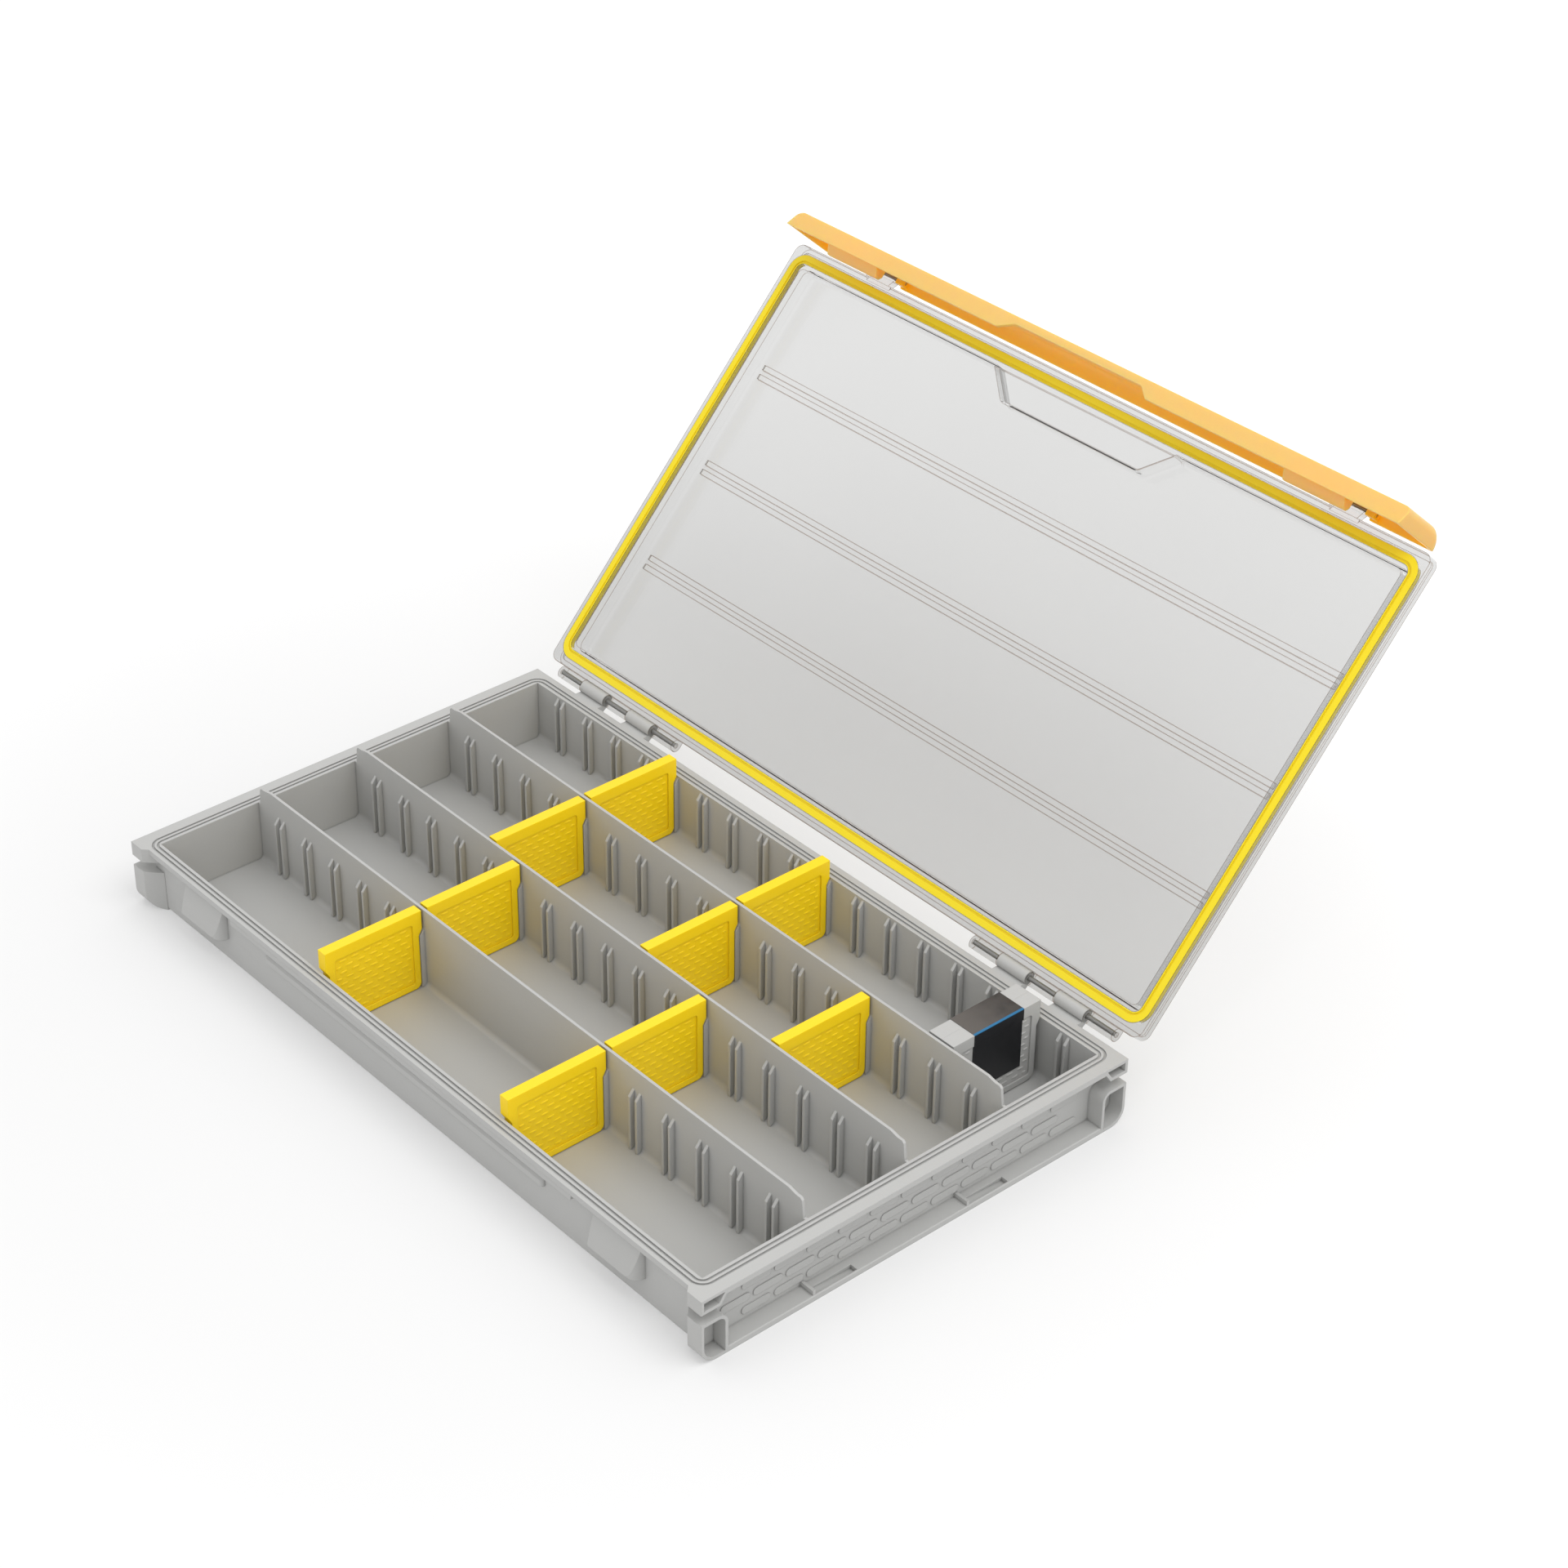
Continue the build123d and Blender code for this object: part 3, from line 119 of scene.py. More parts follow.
class Graph:
    """A node tree with short ways to add nodes and links."""

    def __init__(self, tree: bpy.types.NodeTree) -> None:
        """Keeps the tree.

        Args:
            tree: The node tree to build in.
        """
        self.tree = tree

    def add(self, kind: str, **settings: object) -> bpy.types.Node:
        """Adds a node.

        Args:
            kind: The node's class name in Blender.
            **settings: Attributes to set on it.

        Returns:
            The new node.
        """
        node = self.tree.nodes.new(kind)
        for name, value in settings.items():
            setattr(node, name, value)
        return node

    def join(self, source: Socket, target: Socket) -> None:
        """Links two sockets."""
        self.tree.links.new(source, target)

    def feed(self, inputs: Iterable[Socket], values: Iterable[object]) -> None:
        """Gives each input its plain value or its link.

        Args:
            inputs: The node's inputs.
            values: Plain values or sockets, in the same order.
        """
        for socket, value in zip(inputs, values):
            if isinstance(value, Socket):
                self.join(value, socket)
            else:
                socket.default_value = value

    def math(self, operation: str, *values: Value, clamp: bool = False) -> Socket:
        """Adds a Math node.

        Args:
            operation: The node's operation.
            *values: Numbers or sockets, in the order of its inputs.
            clamp: Whether the result stays between 0 and 1.

        Returns:
            The node's value.
        """
        node = self.add("ShaderNodeMath", operation=operation, use_clamp=clamp)
        self.feed(node.inputs, values)
        return node.outputs[0]

    def band(self, value: Socket, low: Value, high: Value) -> Socket:
        """Maps a value smoothly from 0 at low to 1 at high.

        Args:
            value: The value.
            low: Where the result is 0.
            high: Where the result is 1.

        Returns:
            The mapped value.
        """
        node = self.add("ShaderNodeMapRange", interpolation_type="SMOOTHSTEP")
        inputs = [node.inputs[name] for name in ("Value", "From Min", "From Max")]
        self.feed(inputs, (value, low, high))
        return node.outputs["Result"]

    def place(self) -> Socket:
        """The coordinates on the piece itself, in metres."""
        return self.add("ShaderNodeTexCoord").outputs["Object"]

    def stretched(self, scale: Triple, turn: Triple = (0.0, 0.0, 0.0)) -> Socket:
        """The coordinates on the piece, scaled and turned, for a pattern drawn out one way.

        Args:
            scale: The scale along each axis.
            turn: The turn about each axis, in radians.

        Returns:
            The new coordinates.
        """
        node = self.add("ShaderNodeMapping")
        inputs = [node.inputs[name] for name in ("Vector", "Scale", "Rotation")]
        self.feed(inputs, (self.place(), scale, turn))
        return node.outputs["Vector"]

    def noise(self, vector: Socket, scale: Value, detail: float) -> Socket:
        """Adds a noise pattern.

        Args:
            vector: The coordinates.
            scale: Its scale, per metre.
            detail: Its detail.

        Returns:
            The noise, about 0.5 on average.
        """
        node = self.add("ShaderNodeTexNoise")
        inputs = [node.inputs[name] for name in ("Vector", "Scale", "Detail")]
        self.feed(inputs, (vector, scale, detail))
        return node.outputs["Fac"]

    def sway(self, noise: Socket, amount: Value, base: Value) -> Socket:
        """Adds to a base the amount times the noise less 0.5, so that it sways both ways.

        Args:
            noise: The noise.
            amount: How far the base sways over the noise's whole range.
            base: The value that it sways about.

        Returns:
            The swaying value.
        """
        about_zero = self.math("SUBTRACT", noise, NOISE_MIDDLE)
        return self.math("MULTIPLY_ADD", about_zero, amount, base)

    def hollow(self, reach: float, low: float, high: float) -> Socket:
        """Marks creases and hollows with Ambient Occlusion.

        It is 1 less how open a point is to its surroundings, mapped smoothly from low to high.

        Args:
            reach: How far the surroundings count, in millimetres.
            low: The openness below which the mark is full.
            high: The openness above which there is no mark.

        Returns:
            The mark, from 0 to 1.
        """
        probe = self.add("ShaderNodeAmbientOcclusion", samples=PROBE_RAYS)
        probe.inputs["Distance"].default_value = reach * MM
        return self.math("SUBTRACT", 1.0, self.band(probe.outputs["AO"], low, high))

    def mix(self, factor: Value, first: Triple | Socket, second: Triple | Socket) -> Socket:
        """Mixes two colours.

        Args:
            factor: How much of the second shows.
            first: A colour or socket.
            second: A colour or socket.

        Returns:
            The mixed colour.
        """
        node = self.add("ShaderNodeMix", data_type="RGBA")
        colours = [
            value if isinstance(value, Socket) else (*value, 1.0) for value in (first, second)
        ]
        inputs = [node.inputs[number] for number in (MIX_FACTOR, MIX_FIRST, MIX_SECOND)]
        self.feed(inputs, (factor, *colours))
        return node.outputs[MIX_RESULT]

    def mix_shaders(self, factor: Socket, first: Socket, second: Socket) -> Socket:
        """Mixes two shaders.

        Args:
            factor: How much of the second shows.
            first: A shader's socket.
            second: A shader's socket.

        Returns:
            The mixed shader.
        """
        node = self.add("ShaderNodeMixShader")
        self.feed(node.inputs, (factor, first, second))
        return node.outputs[0]


def empty_graph(owner: bpy.types.Material | bpy.types.World) -> Graph:
    """Turns on the nodes of a material or world and clears them.

    Args:
        owner: The material or world.

    Returns:
        Its empty graph.
    """
    owner.use_nodes = True
    owner.node_tree.nodes.clear()
    return Graph(owner.node_tree)


def new_group(
    name: str, inputs: dict[str, tuple[str, object]], outputs: dict[str, str]
) -> tuple[Graph, bpy.types.Node, bpy.types.Node]:
    """Starts a shader node group with named sockets.

    Args:
        name: The group's name.
        inputs: Socket type and default for each input.
        outputs: Socket type for each output.

    Returns:
        The group's graph, and its input and output nodes.
    """
    tree = bpy.data.node_groups.new(name, "ShaderNodeTree")
    for label, (kind, default) in inputs.items():
        socket = tree.interface.new_socket(name=label, in_out="INPUT", socket_type=kind)
        socket.default_value = default
    for label, kind in outputs.items():
        tree.interface.new_socket(name=label, in_out="OUTPUT", socket_type=kind)
    graph = Graph(tree)
    return graph, graph.add("NodeGroupInput"), graph.add("NodeGroupOutput")


def build_soft_edge() -> bpy.types.NodeTree:
    """Builds the group that rounds sharp edges in the shading.

    The mark of an edge is 1 less the dot product of the rounded normal and the true one, mapped
    smoothly from Low to High.

    Returns:
        The node group.
    """
    graph, given, result = new_group(
        "soft_edge",
        {"Radius": (NUMBER, 0.0004), "Low": (NUMBER, 0.01), "High": (NUMBER, 0.2)},
        {"Edge": NUMBER, "Normal": VECTOR},
    )
    bevel = graph.add("ShaderNodeBevel", samples=PROBE_RAYS)
    graph.join(given.outputs["Radius"], bevel.inputs["Radius"])
    true_normal = graph.add("ShaderNodeNewGeometry").outputs["Normal"]
    compare = graph.add("ShaderNodeVectorMath", operation="DOT_PRODUCT")
    graph.feed(compare.inputs, (bevel.outputs["Normal"], true_normal))
    turned = graph.math("SUBTRACT", 1.0, compare.outputs["Value"])
    marked = graph.band(turned, given.outputs["Low"], given.outputs["High"])
    graph.join(marked, result.inputs["Edge"])
    graph.join(bevel.outputs["Normal"], result.inputs["Normal"])
    return graph.tree


@dataclass(frozen=True)
class MouldedSkin:
    """The pattern of moulded plastic's skin, which the moulded finishes share as one group.

    Slow noise shades the colour as uneven flow does, fine noise gives the mould's grain, and a long
    noise stretched one way gives faint rubbing that changes the roughness.
    """

    flow_scale: float = 14.0
    flow_detail: float = 3.0
    grain_detail: float = 2.0
    rub_stretch: Triple = (60.0, 900.0, 420.0)
    rub_turn: Triple = (0.1, 0.0, 0.35)
    rub_detail: float = 4.0
    rub_low: float = 0.48
    rub_high: float = 0.72

    def build(self) -> bpy.types.NodeTree:
        """Builds the group.

        The colour is scaled by 1 plus the shade times what the flow and the grain differ from their
        middles. The roughness changes by the spread times the flow's difference and the rubbing.

        Returns:
            The node group.
        """
        graph, given, result = new_group(
            "moulded_skin",
            {
                "Colour": (COLOUR, (0.5, 0.5, 0.5, 1.0)),
                "Shade": (NUMBER, 0.05),
                "Grain Scale": (NUMBER, 2400.0),
                "Roughness": (NUMBER, 0.4),
                "Spread": (NUMBER, 0.1),
            },
            {"Colour": COLOUR, "Roughness": NUMBER, "Height": NUMBER},
        )
        place = graph.place()
        flow = graph.noise(place, self.flow_scale, self.flow_detail)
        grain = graph.noise(place, given.outputs["Grain Scale"], self.grain_detail)
        rubbing = graph.noise(
            graph.stretched(self.rub_stretch, self.rub_turn), 1.0, self.rub_detail
        )
        tint = graph.sway(flow, given.outputs["Shade"], 1.0)
        speck = graph.sway(grain, given.outputs["Shade"], tint)
        shaded = graph.add("ShaderNodeVectorMath", operation="SCALE")
        graph.join(given.outputs["Colour"], shaded.inputs["Vector"])
        graph.join(speck, shaded.inputs["Scale"])
        graph.join(shaded.outputs["Vector"], result.inputs["Colour"])
        rubbed = graph.math(
            "MULTIPLY", graph.band(rubbing, self.rub_low, self.rub_high), given.outputs["Spread"]
        )
        uneven = graph.sway(flow, given.outputs["Spread"], rubbed)
        roughness = graph.math("ADD", given.outputs["Roughness"], uneven, clamp=True)
        graph.join(roughness, result.inputs["Roughness"])
        graph.join(grain, result.inputs["Height"])
        return graph.tree


SOFT_EDGE = build_soft_edge()
MOULDED_SKIN = MouldedSkin().build()


class Shader:
    """A material with one Principled shader, and the shared groups placed in it."""

    def __init__(self, name: str) -> None:
        """Makes an empty material.

        Args:
            name: The material's name.
        """
        self.material = bpy.data.materials.new(name)
        self.graph = empty_graph(self.material)
        self.output = self.graph.add("ShaderNodeOutputMaterial")
        self.principled = self.graph.add("ShaderNodeBsdfPrincipled")
        self.graph.join(self.principled.outputs[0], self.output.inputs["Surface"])

    def set(self, **values: object) -> None:
        """Sets plain values on the Principled shader; an underscore stands for a space."""
        for name, value in values.items():
            self.principled.inputs[name.replace("_", " ")].default_value = value

    def link(self, source: Socket, name: str) -> None:
        """Links a socket to the Principled shader's input of that name."""
        self.graph.join(source, self.principled.inputs[name])

    def group(self, tree: bpy.types.NodeTree, **values: object) -> bpy.types.Node:
        """Places a shared group.

        Args:
            tree: The group.
            **values: Its inputs; an underscore stands for a space.

        Returns:
            The group's node.
        """
        node = self.graph.add("ShaderNodeGroup", node_tree=tree)
        for name, value in values.items():
            node.inputs[name.replace("_", " ")].default_value = value
        return node

    def bump(self, height: Socket, depth: float, normal: Socket | None = None) -> None:
        """Feeds a height, over a normal, to the shader's Normal.

        Args:
            height: The height from 0 to 1.
            depth: The real depth, in millimetres.
            normal: The normal that it lies on, or None for the surface's own.
        """
        node = self.graph.add("ShaderNodeBump")
        node.inputs["Distance"].default_value = depth * MM
        self.graph.join(height, node.inputs["Height"])
        if normal is not None:
            self.graph.join(normal, node.inputs["Normal"])
        self.link(node.outputs["Normal"], "Normal")


@dataclass(frozen=True, kw_only=True)
class MouldedFinish:
    """What the moulded finishes have in common: a grained skin and soft edges.

    The shade is how much the colour varies, and the spread is how much the roughness does.
    """

    name: str
    colour: Triple
    roughness: float
    shade: float = 0.05
    spread: float = 0.08
    grain_scale: float = 2400.0
    grain_depth: float = 0.006
    edge_radius: float = 0.35

    def start(self) -> tuple[Shader, Socket, Socket]:
        """Starts the material with the skin's roughness and its grain over the soft edges.

        Returns:
            The shader, the skin's colour and the mark of its edges.
        """
        shader = Shader(self.name)
        skin = shader.group(
            MOULDED_SKIN,
            Colour=(*self.colour, 1.0),
            Shade=self.shade,
            Grain_Scale=self.grain_scale,
            Roughness=self.roughness,
            Spread=self.spread,
        )
        edge = shader.group(SOFT_EDGE, Radius=self.edge_radius * MM)
        shader.link(skin.outputs["Roughness"], "Roughness")
        shader.bump(skin.outputs["Height"], self.grain_depth, edge.outputs["Normal"])
        return shader, skin.outputs["Colour"], edge.outputs["Edge"]


@dataclass(frozen=True, kw_only=True)
class MouldedPlastic(MouldedFinish):
    """An opaque moulded plastic with a painted highlight along its rounded edges and painted shade
    in its creases.
    """

    # The edge fields set the painted highlight on rounded edges, and the crease fields the painted
    # shade in creases.
    edge_gain: float = 1.2
    edge_lift: float = 0.01
    edge_show: float = 0.6
    crease_reach: float = 1.3
    crease_low: float = 0.35
    crease_high: float = 0.9
    painted_crease_shade: float = 0.35
    subsurface: float = 0.0
    subsurface_reach: Triple = (1.5, 1.5, 0.3)
    # Strength of a painted glow in the skin's own colour.
    glow: float = 0.0

    def build(self) -> bpy.types.Material:
        """Builds the material.

        As a painted highlight, an edge takes the colour times the gain plus the lift, and as
        painted shade a crease takes the colour times 1 less the painted crease shade.

        Returns:
            The material.
        """
        shader, skin_colour, edge = self.start()
        graph = shader.graph
        # Painted highlight: the rounded edges are made paler, as edges look where they catch the
        # light.
        pale = tuple(min(1.0, part * self.edge_gain + self.edge_lift) for part in self.colour)
        skin_with_painted_highlight = graph.mix(graph.math("MULTIPLY", edge, self.edge_show), skin_colour, pale)
        # Painted shade: where Ambient Occlusion finds a crease, the colour is darkened by the
        # painted crease shade.
        crease = graph.hollow(self.crease_reach, self.crease_low, self.crease_high)
        dark = tuple(part * (1.0 - self.painted_crease_shade) for part in self.colour)
        shader.link(graph.mix(crease, skin_with_painted_highlight, dark), "Base Color")
        shader.set(
            Subsurface_Weight=self.subsurface,
            Subsurface_Radius=tuple(reach * MM for reach in self.subsurface_reach),
            Subsurface_Scale=1.0,
        )
        # Painted glow: the skin's colour is given off as light, though the part is no lamp.
        if self.glow:
            shader.link(skin_colour, "Emission Color")
            shader.set(Emission_Strength=self.glow)
        return shader.material


@dataclass(frozen=True, kw_only=True)
class AmberPlastic(MouldedFinish):
    """Amber plastic that lets a little light in, with a painted glow that is deeper inside its
    channel.
    """

    painted_glow_colour: Triple
    roughness: float = 0.34
    shade: float = 0.06
    grain_scale: float = 1800.0
    grain_depth: float = 0.005
    edge_radius: float = 0.5
    hollow_reach: float = 12.0
    hollow_low: float = 0.25
    hollow_high: float = 0.85
    transmission: float = 0.15
    subsurface: float = 0.9
    subsurface_reach: Triple = (7.0, 4.5, 1.2)
    refraction: float = 1.49
    specular: float = 0.2
    # Strength of the painted glow.
    glow: float = 0.22

    def build(self) -> bpy.types.Material:
        """Builds the material.

        Returns:
            The material.
        """
        shader, skin_colour, _ = self.start()
        graph = shader.graph
        # Painted glow: in the channel's hollows the base colour turns to the painted glow colour,
        # and the emission gives off light of that colour, though the part is no lamp.
        depth = graph.hollow(self.hollow_reach, self.hollow_low, self.hollow_high)
        shader.link(graph.mix(depth, skin_colour, self.painted_glow_colour), "Base Color")
        shader.link(graph.mix(depth, (0.0, 0.0, 0.0), self.painted_glow_colour), "Emission Color")
        shader.set(
            Transmission_Weight=self.transmission,
            Subsurface_Weight=self.subsurface,
            Subsurface_Radius=tuple(reach * MM for reach in self.subsurface_reach),
            Subsurface_Scale=1.0,
            IOR=self.refraction,
            Specular_IOR_Level=self.specular,
            Emission_Strength=self.glow,
        )
        return shader.material


@dataclass(frozen=True)
class ClearPlastic:
    """Clear moulded plastic that lets light through to what stands behind it, with painted
    dark lines along its edges.
    """

    name: str
    colour: Triple
    shadow_colour: Triple
    painted_edge_line_colour: Triple
    edge_radius: float = 0.5
    edge_low: float = 0.002
    edge_high: float = 0.035
    roughness: float = 0.03
    refraction: float = 1.06
    coat: float = 0.7
    ripple_scale: float = 9.0
    ripple_detail: float = 2.0
    ripple_depth: float = 0.02
    ripple_low: float = 0.3
    ripple_high: float = 0.7
    ripple_tint: float = 0.985

    def build(self) -> bpy.types.Material:
        """Builds the material. Shadow and diffuse rays pass straight, so its shadow stays faint.

        Returns:
            The material.
        """
        shader = Shader(self.name)
        graph = shader.graph
        edge = shader.group(
            SOFT_EDGE, Radius=self.edge_radius * MM, Low=self.edge_low, High=self.edge_high
        )
        ripple = graph.noise(graph.place(), self.ripple_scale, self.ripple_detail)
        shader.bump(ripple, self.ripple_depth)
        darker = tuple(part * self.ripple_tint for part in self.colour)
        waves = graph.band(ripple, self.ripple_low, self.ripple_high)
        tinted = graph.mix(waves, self.colour, darker)
        # Painted shade: the edges take a brownish colour in place of the dark lines that light
        # bending through the walls draws.
        shader.link(graph.mix(edge.outputs["Edge"], tinted, self.painted_edge_line_colour), "Base Color")
        shader.set(
            Roughness=self.roughness,
            IOR=self.refraction,
            Transmission_Weight=1.0,
            Coat_Weight=self.coat,
            Coat_Roughness=self.roughness,
        )
        straight = graph.add("ShaderNodeBsdfTransparent")
        straight.inputs["Color"].default_value = (*self.shadow_colour, 1.0)
        rays = graph.add("ShaderNodeLightPath").outputs
        unseen = graph.math("MAXIMUM", rays["Is Shadow Ray"], rays["Is Diffuse Ray"])
        surface = graph.mix_shaders(unseen, shader.principled.outputs[0], straight.outputs[0])
        graph.join(surface, shader.output.inputs["Surface"])
        return shader.material


@dataclass(frozen=True)
class DrawnSteel:
    """Drawn steel wire with fine lines along its length, which darken it and make it rougher."""

    name: str
    colour: Triple
    line_stretch: Triple = (40.0, 5200.0, 5200.0)
    line_detail: float = 3.0
    line_shade: float = 0.75
    line_depth: float = 0.01
    roughness: float = 0.3
    spread: float = 0.2
    edge_radius: float = 0.2

    def build(self) -> bpy.types.Material:
        """Builds the material.

        Returns:
            The material.
        """
        shader = Shader(self.name)
        graph = shader.graph
        lines = graph.noise(graph.stretched(self.line_stretch), 1.0, self.line_detail)
        darker = tuple(part * self.line_shade for part in self.colour)
        shader.link(graph.mix(lines, self.colour, darker), "Base Color")
        roughness = graph.math("MULTIPLY_ADD", lines, self.spread, self.roughness)
        shader.link(roughness, "Roughness")
        edge = shader.group(SOFT_EDGE, Radius=self.edge_radius * MM)
        shader.bump(lines, self.line_depth, edge.outputs["Normal"])
        shader.set(Metallic=1.0)
        return shader.material


@dataclass(frozen=True)
class LabelFilm:
    """A dark satin film, smoky on top, with one thin blue line and nothing printed on it.

    The fold is where the front's colour gives way to the top's. The smoke thins out along the film
    between two places of the box's width.
    """

    name: str
    colour: Triple
    top_colour: Triple
    line_colour: Triple
    edge_x: float
    top_z: float
    fold_low: float = 0.35
    fold_high: float = 0.2
    line_width: float = 1.1
    line_fade: float = 0.15
    smoke_scale: float = 160.0
    smoke_detail: float = 3.0
    smoke_lift: float = 0.2
    smoke_from: float = 58.0
    smoke_to: float = 88.0
    grain_scale: float = 1500.0
    grain_detail: float = 2.0
    grain_depth: float = 0.004
    roughness: float = 0.3
    spread: float = 0.12
    edge_radius: float = 0.15

    def build(self) -> bpy.types.Material:
        """Builds the material.

        Returns:
            The material.
        """
        shader = Shader(self.name)
        graph = shader.graph
        place = graph.place()
        split = graph.add("ShaderNodeSeparateXYZ")
        graph.join(place, split.inputs[0])
        across, along, height = split.outputs
        on_top = graph.band(
            height, (self.top_z - self.fold_low) * MM, (self.top_z - self.fold_high) * MM
        )
        smoke = graph.noise(place, self.smoke_scale, self.smoke_detail)
        thinned = graph.band(along, self.smoke_from * MM, self.smoke_to * MM)
        shown = graph.math("MULTIPLY", thinned, graph.math("ADD", smoke, self.smoke_lift))
        top = graph.mix(shown, self.top_colour, self.colour)
        ground = graph.mix(on_top, self.colour, top)
        line_from = self.edge_x - self.line_width
        near_edge = graph.band(across, line_from * MM, (line_from + self.line_fade) * MM)
        line = graph.math("MULTIPLY", on_top, near_edge)
        shader.link(graph.mix(line, ground, self.line_colour), "Base Color")
        grain = graph.noise(place, self.grain_scale, self.grain_detail)
        roughness = graph.math("MULTIPLY_ADD", grain, self.spread, self.roughness)
        shader.link(roughness, "Roughness")
        edge = shader.group(SOFT_EDGE, Radius=self.edge_radius * MM)
        shader.bump(grain, self.grain_depth, edge.outputs["Normal"])
        return shader.material


def make_mesh(name: str, points: np.ndarray, faces: np.ndarray) -> bpy.types.Object:
    """Puts points and faces into a smooth mesh object at the origin.

    Args:
        name: The piece's name.
        points: Rows of x, y and z in metres.
        faces: Rows of four point numbers.

    Returns:
        The new object.
    """
    mesh = bpy.data.meshes.new(name)
    mesh.from_pydata(points, [], faces)
    mesh.polygons.foreach_set("use_smooth", np.ones(len(faces), dtype=bool))
    mesh.update()
    piece = bpy.data.objects.new(name, mesh)
    bpy.context.scene.collection.objects.link(piece)
    return piece


@dataclass
class BrickRelief:
    """Low pads laid like bricks on the sunk panel of a divider's face.

    The pads start as deep in the panel as the sink, and pads under the shortest length are left
    out. Each has rings of points, from the innermost one round its top to its outline.
    """

    pitch: float = 5.6
    row_pitch: float = 2.7
    gap: float = 1.3
    row_gap: float = 1.4
    height: float = 0.34
    sink: float = 0.08
    shortest: float = 1.3
    label_gap: float = 0.35
    squareness: float = 3.2
    innermost: float = 0.15
    dome_power: int = 4
    spokes: int = 12
    rings: int = 3

    def pads(
        self, half_width: float, low: float, high: float, label: Pair
    ) -> tuple[np.ndarray, np.ndarray]:
        """Lays out the pads of one panel; every second row is shifted by half a pitch.

        Args:
            half_width: Half of the panel's width.
            low: The panel's lowest height.
            high: The panel's highest height.
            label: Half width and low edge of a label, which the pads stop at.

        Returns:
            The pads' middles and their half sizes, each as rows of two lengths.
        """
        rows = int((high - low) // self.row_pitch)
        start = (low + high - (rows - 1) * self.row_pitch) / 2
        columns = int(2 * half_width // self.pitch) + 2
        row, column = np.meshgrid(np.arange(rows), np.arange(columns + 1), indexing="ij")
        middle = (column - columns / 2 + 0.5 * (row % 2)) * self.pitch
        half_length = (self.pitch - self.gap) / 2
        left = np.maximum(middle - half_length, -half_width)
        right = np.minimum(middle + half_length, half_width)
        height = start + row * self.row_pitch
        label_half, label_low = label
        beside = height + self.row_pitch / 2 > label_low
        clear = label_half + self.label_gap
        left = np.where(beside & (middle > 0), np.maximum(left, clear), left)
        right = np.where(beside & (middle <= 0), np.minimum(right, -clear), right)
        whole = (right - left) >= self.shortest
        half_height = np.full_like(left, (self.row_pitch - self.row_gap) / 2)
        middles = np.stack([(left + right) / 2, height], axis=-1)
        halves = np.stack([(right - left) / 2, half_height], axis=-1)
        return middles[whole], halves[whole]

    def surface(self, middles: np.ndarray, halves: np.ndarray) -> tuple[np.ndarray, np.ndarray]:
        """Works out every pad at once as rings of points on a low pillow.

        The outline is the curve |y/a|^n + |z/b|^n = 1, where n is the squareness. A point on ring r
        lies at r times the outline. It is as high as the pad times 1 less r to the dome's power,
        less the sink.

        Args:
            middles: The pads' middles.
            halves: The pads' half sizes.

        Returns:
            Points as rows of along, up and out, and faces as rows of four point numbers.
        """
        turn = np.linspace(0, 2 * math.pi, self.spokes, endpoint=False)
        power = 2 / self.squareness
        waves = (np.cos(turn), np.sin(turn))
        unit = np.stack([np.sign(wave) * np.abs(wave) ** power for wave in waves], axis=-1)
        ring = np.linspace(self.innermost, 1, self.rings)
        reach = halves[:, None, None, :] * ring[None, :, None, None] * unit[None, None]
        flat = middles[:, None, None, :] + reach
        rise = self.height * (1 - ring**self.dome_power) - self.sink
        out = np.broadcast_to(rise[None, :, None, None], (*flat.shape[:3], 1))
        points = np.concatenate([flat, out], axis=-1).reshape(-1, 3)
        one_pad = self.pad_faces()
        first_points = np.arange(len(middles)) * self.rings * self.spokes
        faces = (one_pad[None] + first_points[:, None, None]).reshape(-1, 4)
        return points, faces

    def pad_faces(self) -> np.ndarray:
        """Joins one pad's rings, and closes the innermost with a fan of four-sided faces.

        Returns:
            Faces as rows of four point numbers.
        """
        ring, spoke = np.meshgrid(
            np.arange(self.rings - 1), np.arange(self.spokes), indexing="ij"
        )
        after = (spoke + 1) % self.spokes
        inner = ring * self.spokes
        outer = inner + self.spokes
        corners = [inner + spoke, outer + spoke, outer + after, inner + after]
        sides = np.stack(corners, axis=-1).reshape(-1, 4)
        fan = np.arange(0, self.spokes - 2, 2)
        cap = np.stack([np.zeros_like(fan), fan + 1, fan + 2, fan + 3], axis=-1)
        return np.concatenate([sides, cap])

    def on_faces(
        self, name: str, planes: Pair, middle_y: float, panel: Triple, label: Pair
    ) -> bpy.types.Object:
        """Builds the relief on both faces of a divider.

        Args:
            name: The piece's name.
            planes: The x of the left and the right sunk panel.
            middle_y: The divider's middle.
            panel: The panel's half width, low and high.
            label: Half width and low edge of a label, which the pads stop at.

        Returns:
            The piece.
        """
        flat, faces = self.surface(*self.pads(*panel, label))
        both_points = []
        both_faces = []
        for side, plane in zip((-1, 1), planes):
            x = plane + side * flat[:, 2]
            both_points.append(np.stack([x, middle_y + flat[:, 0], flat[:, 1]], axis=-1))
            turned = faces if side > 0 else faces[:, ::-1]
            both_faces.append(turned + len(flat) * (side > 0))
        return make_mesh(name, np.concatenate(both_points) * MM, np.concatenate(both_faces))


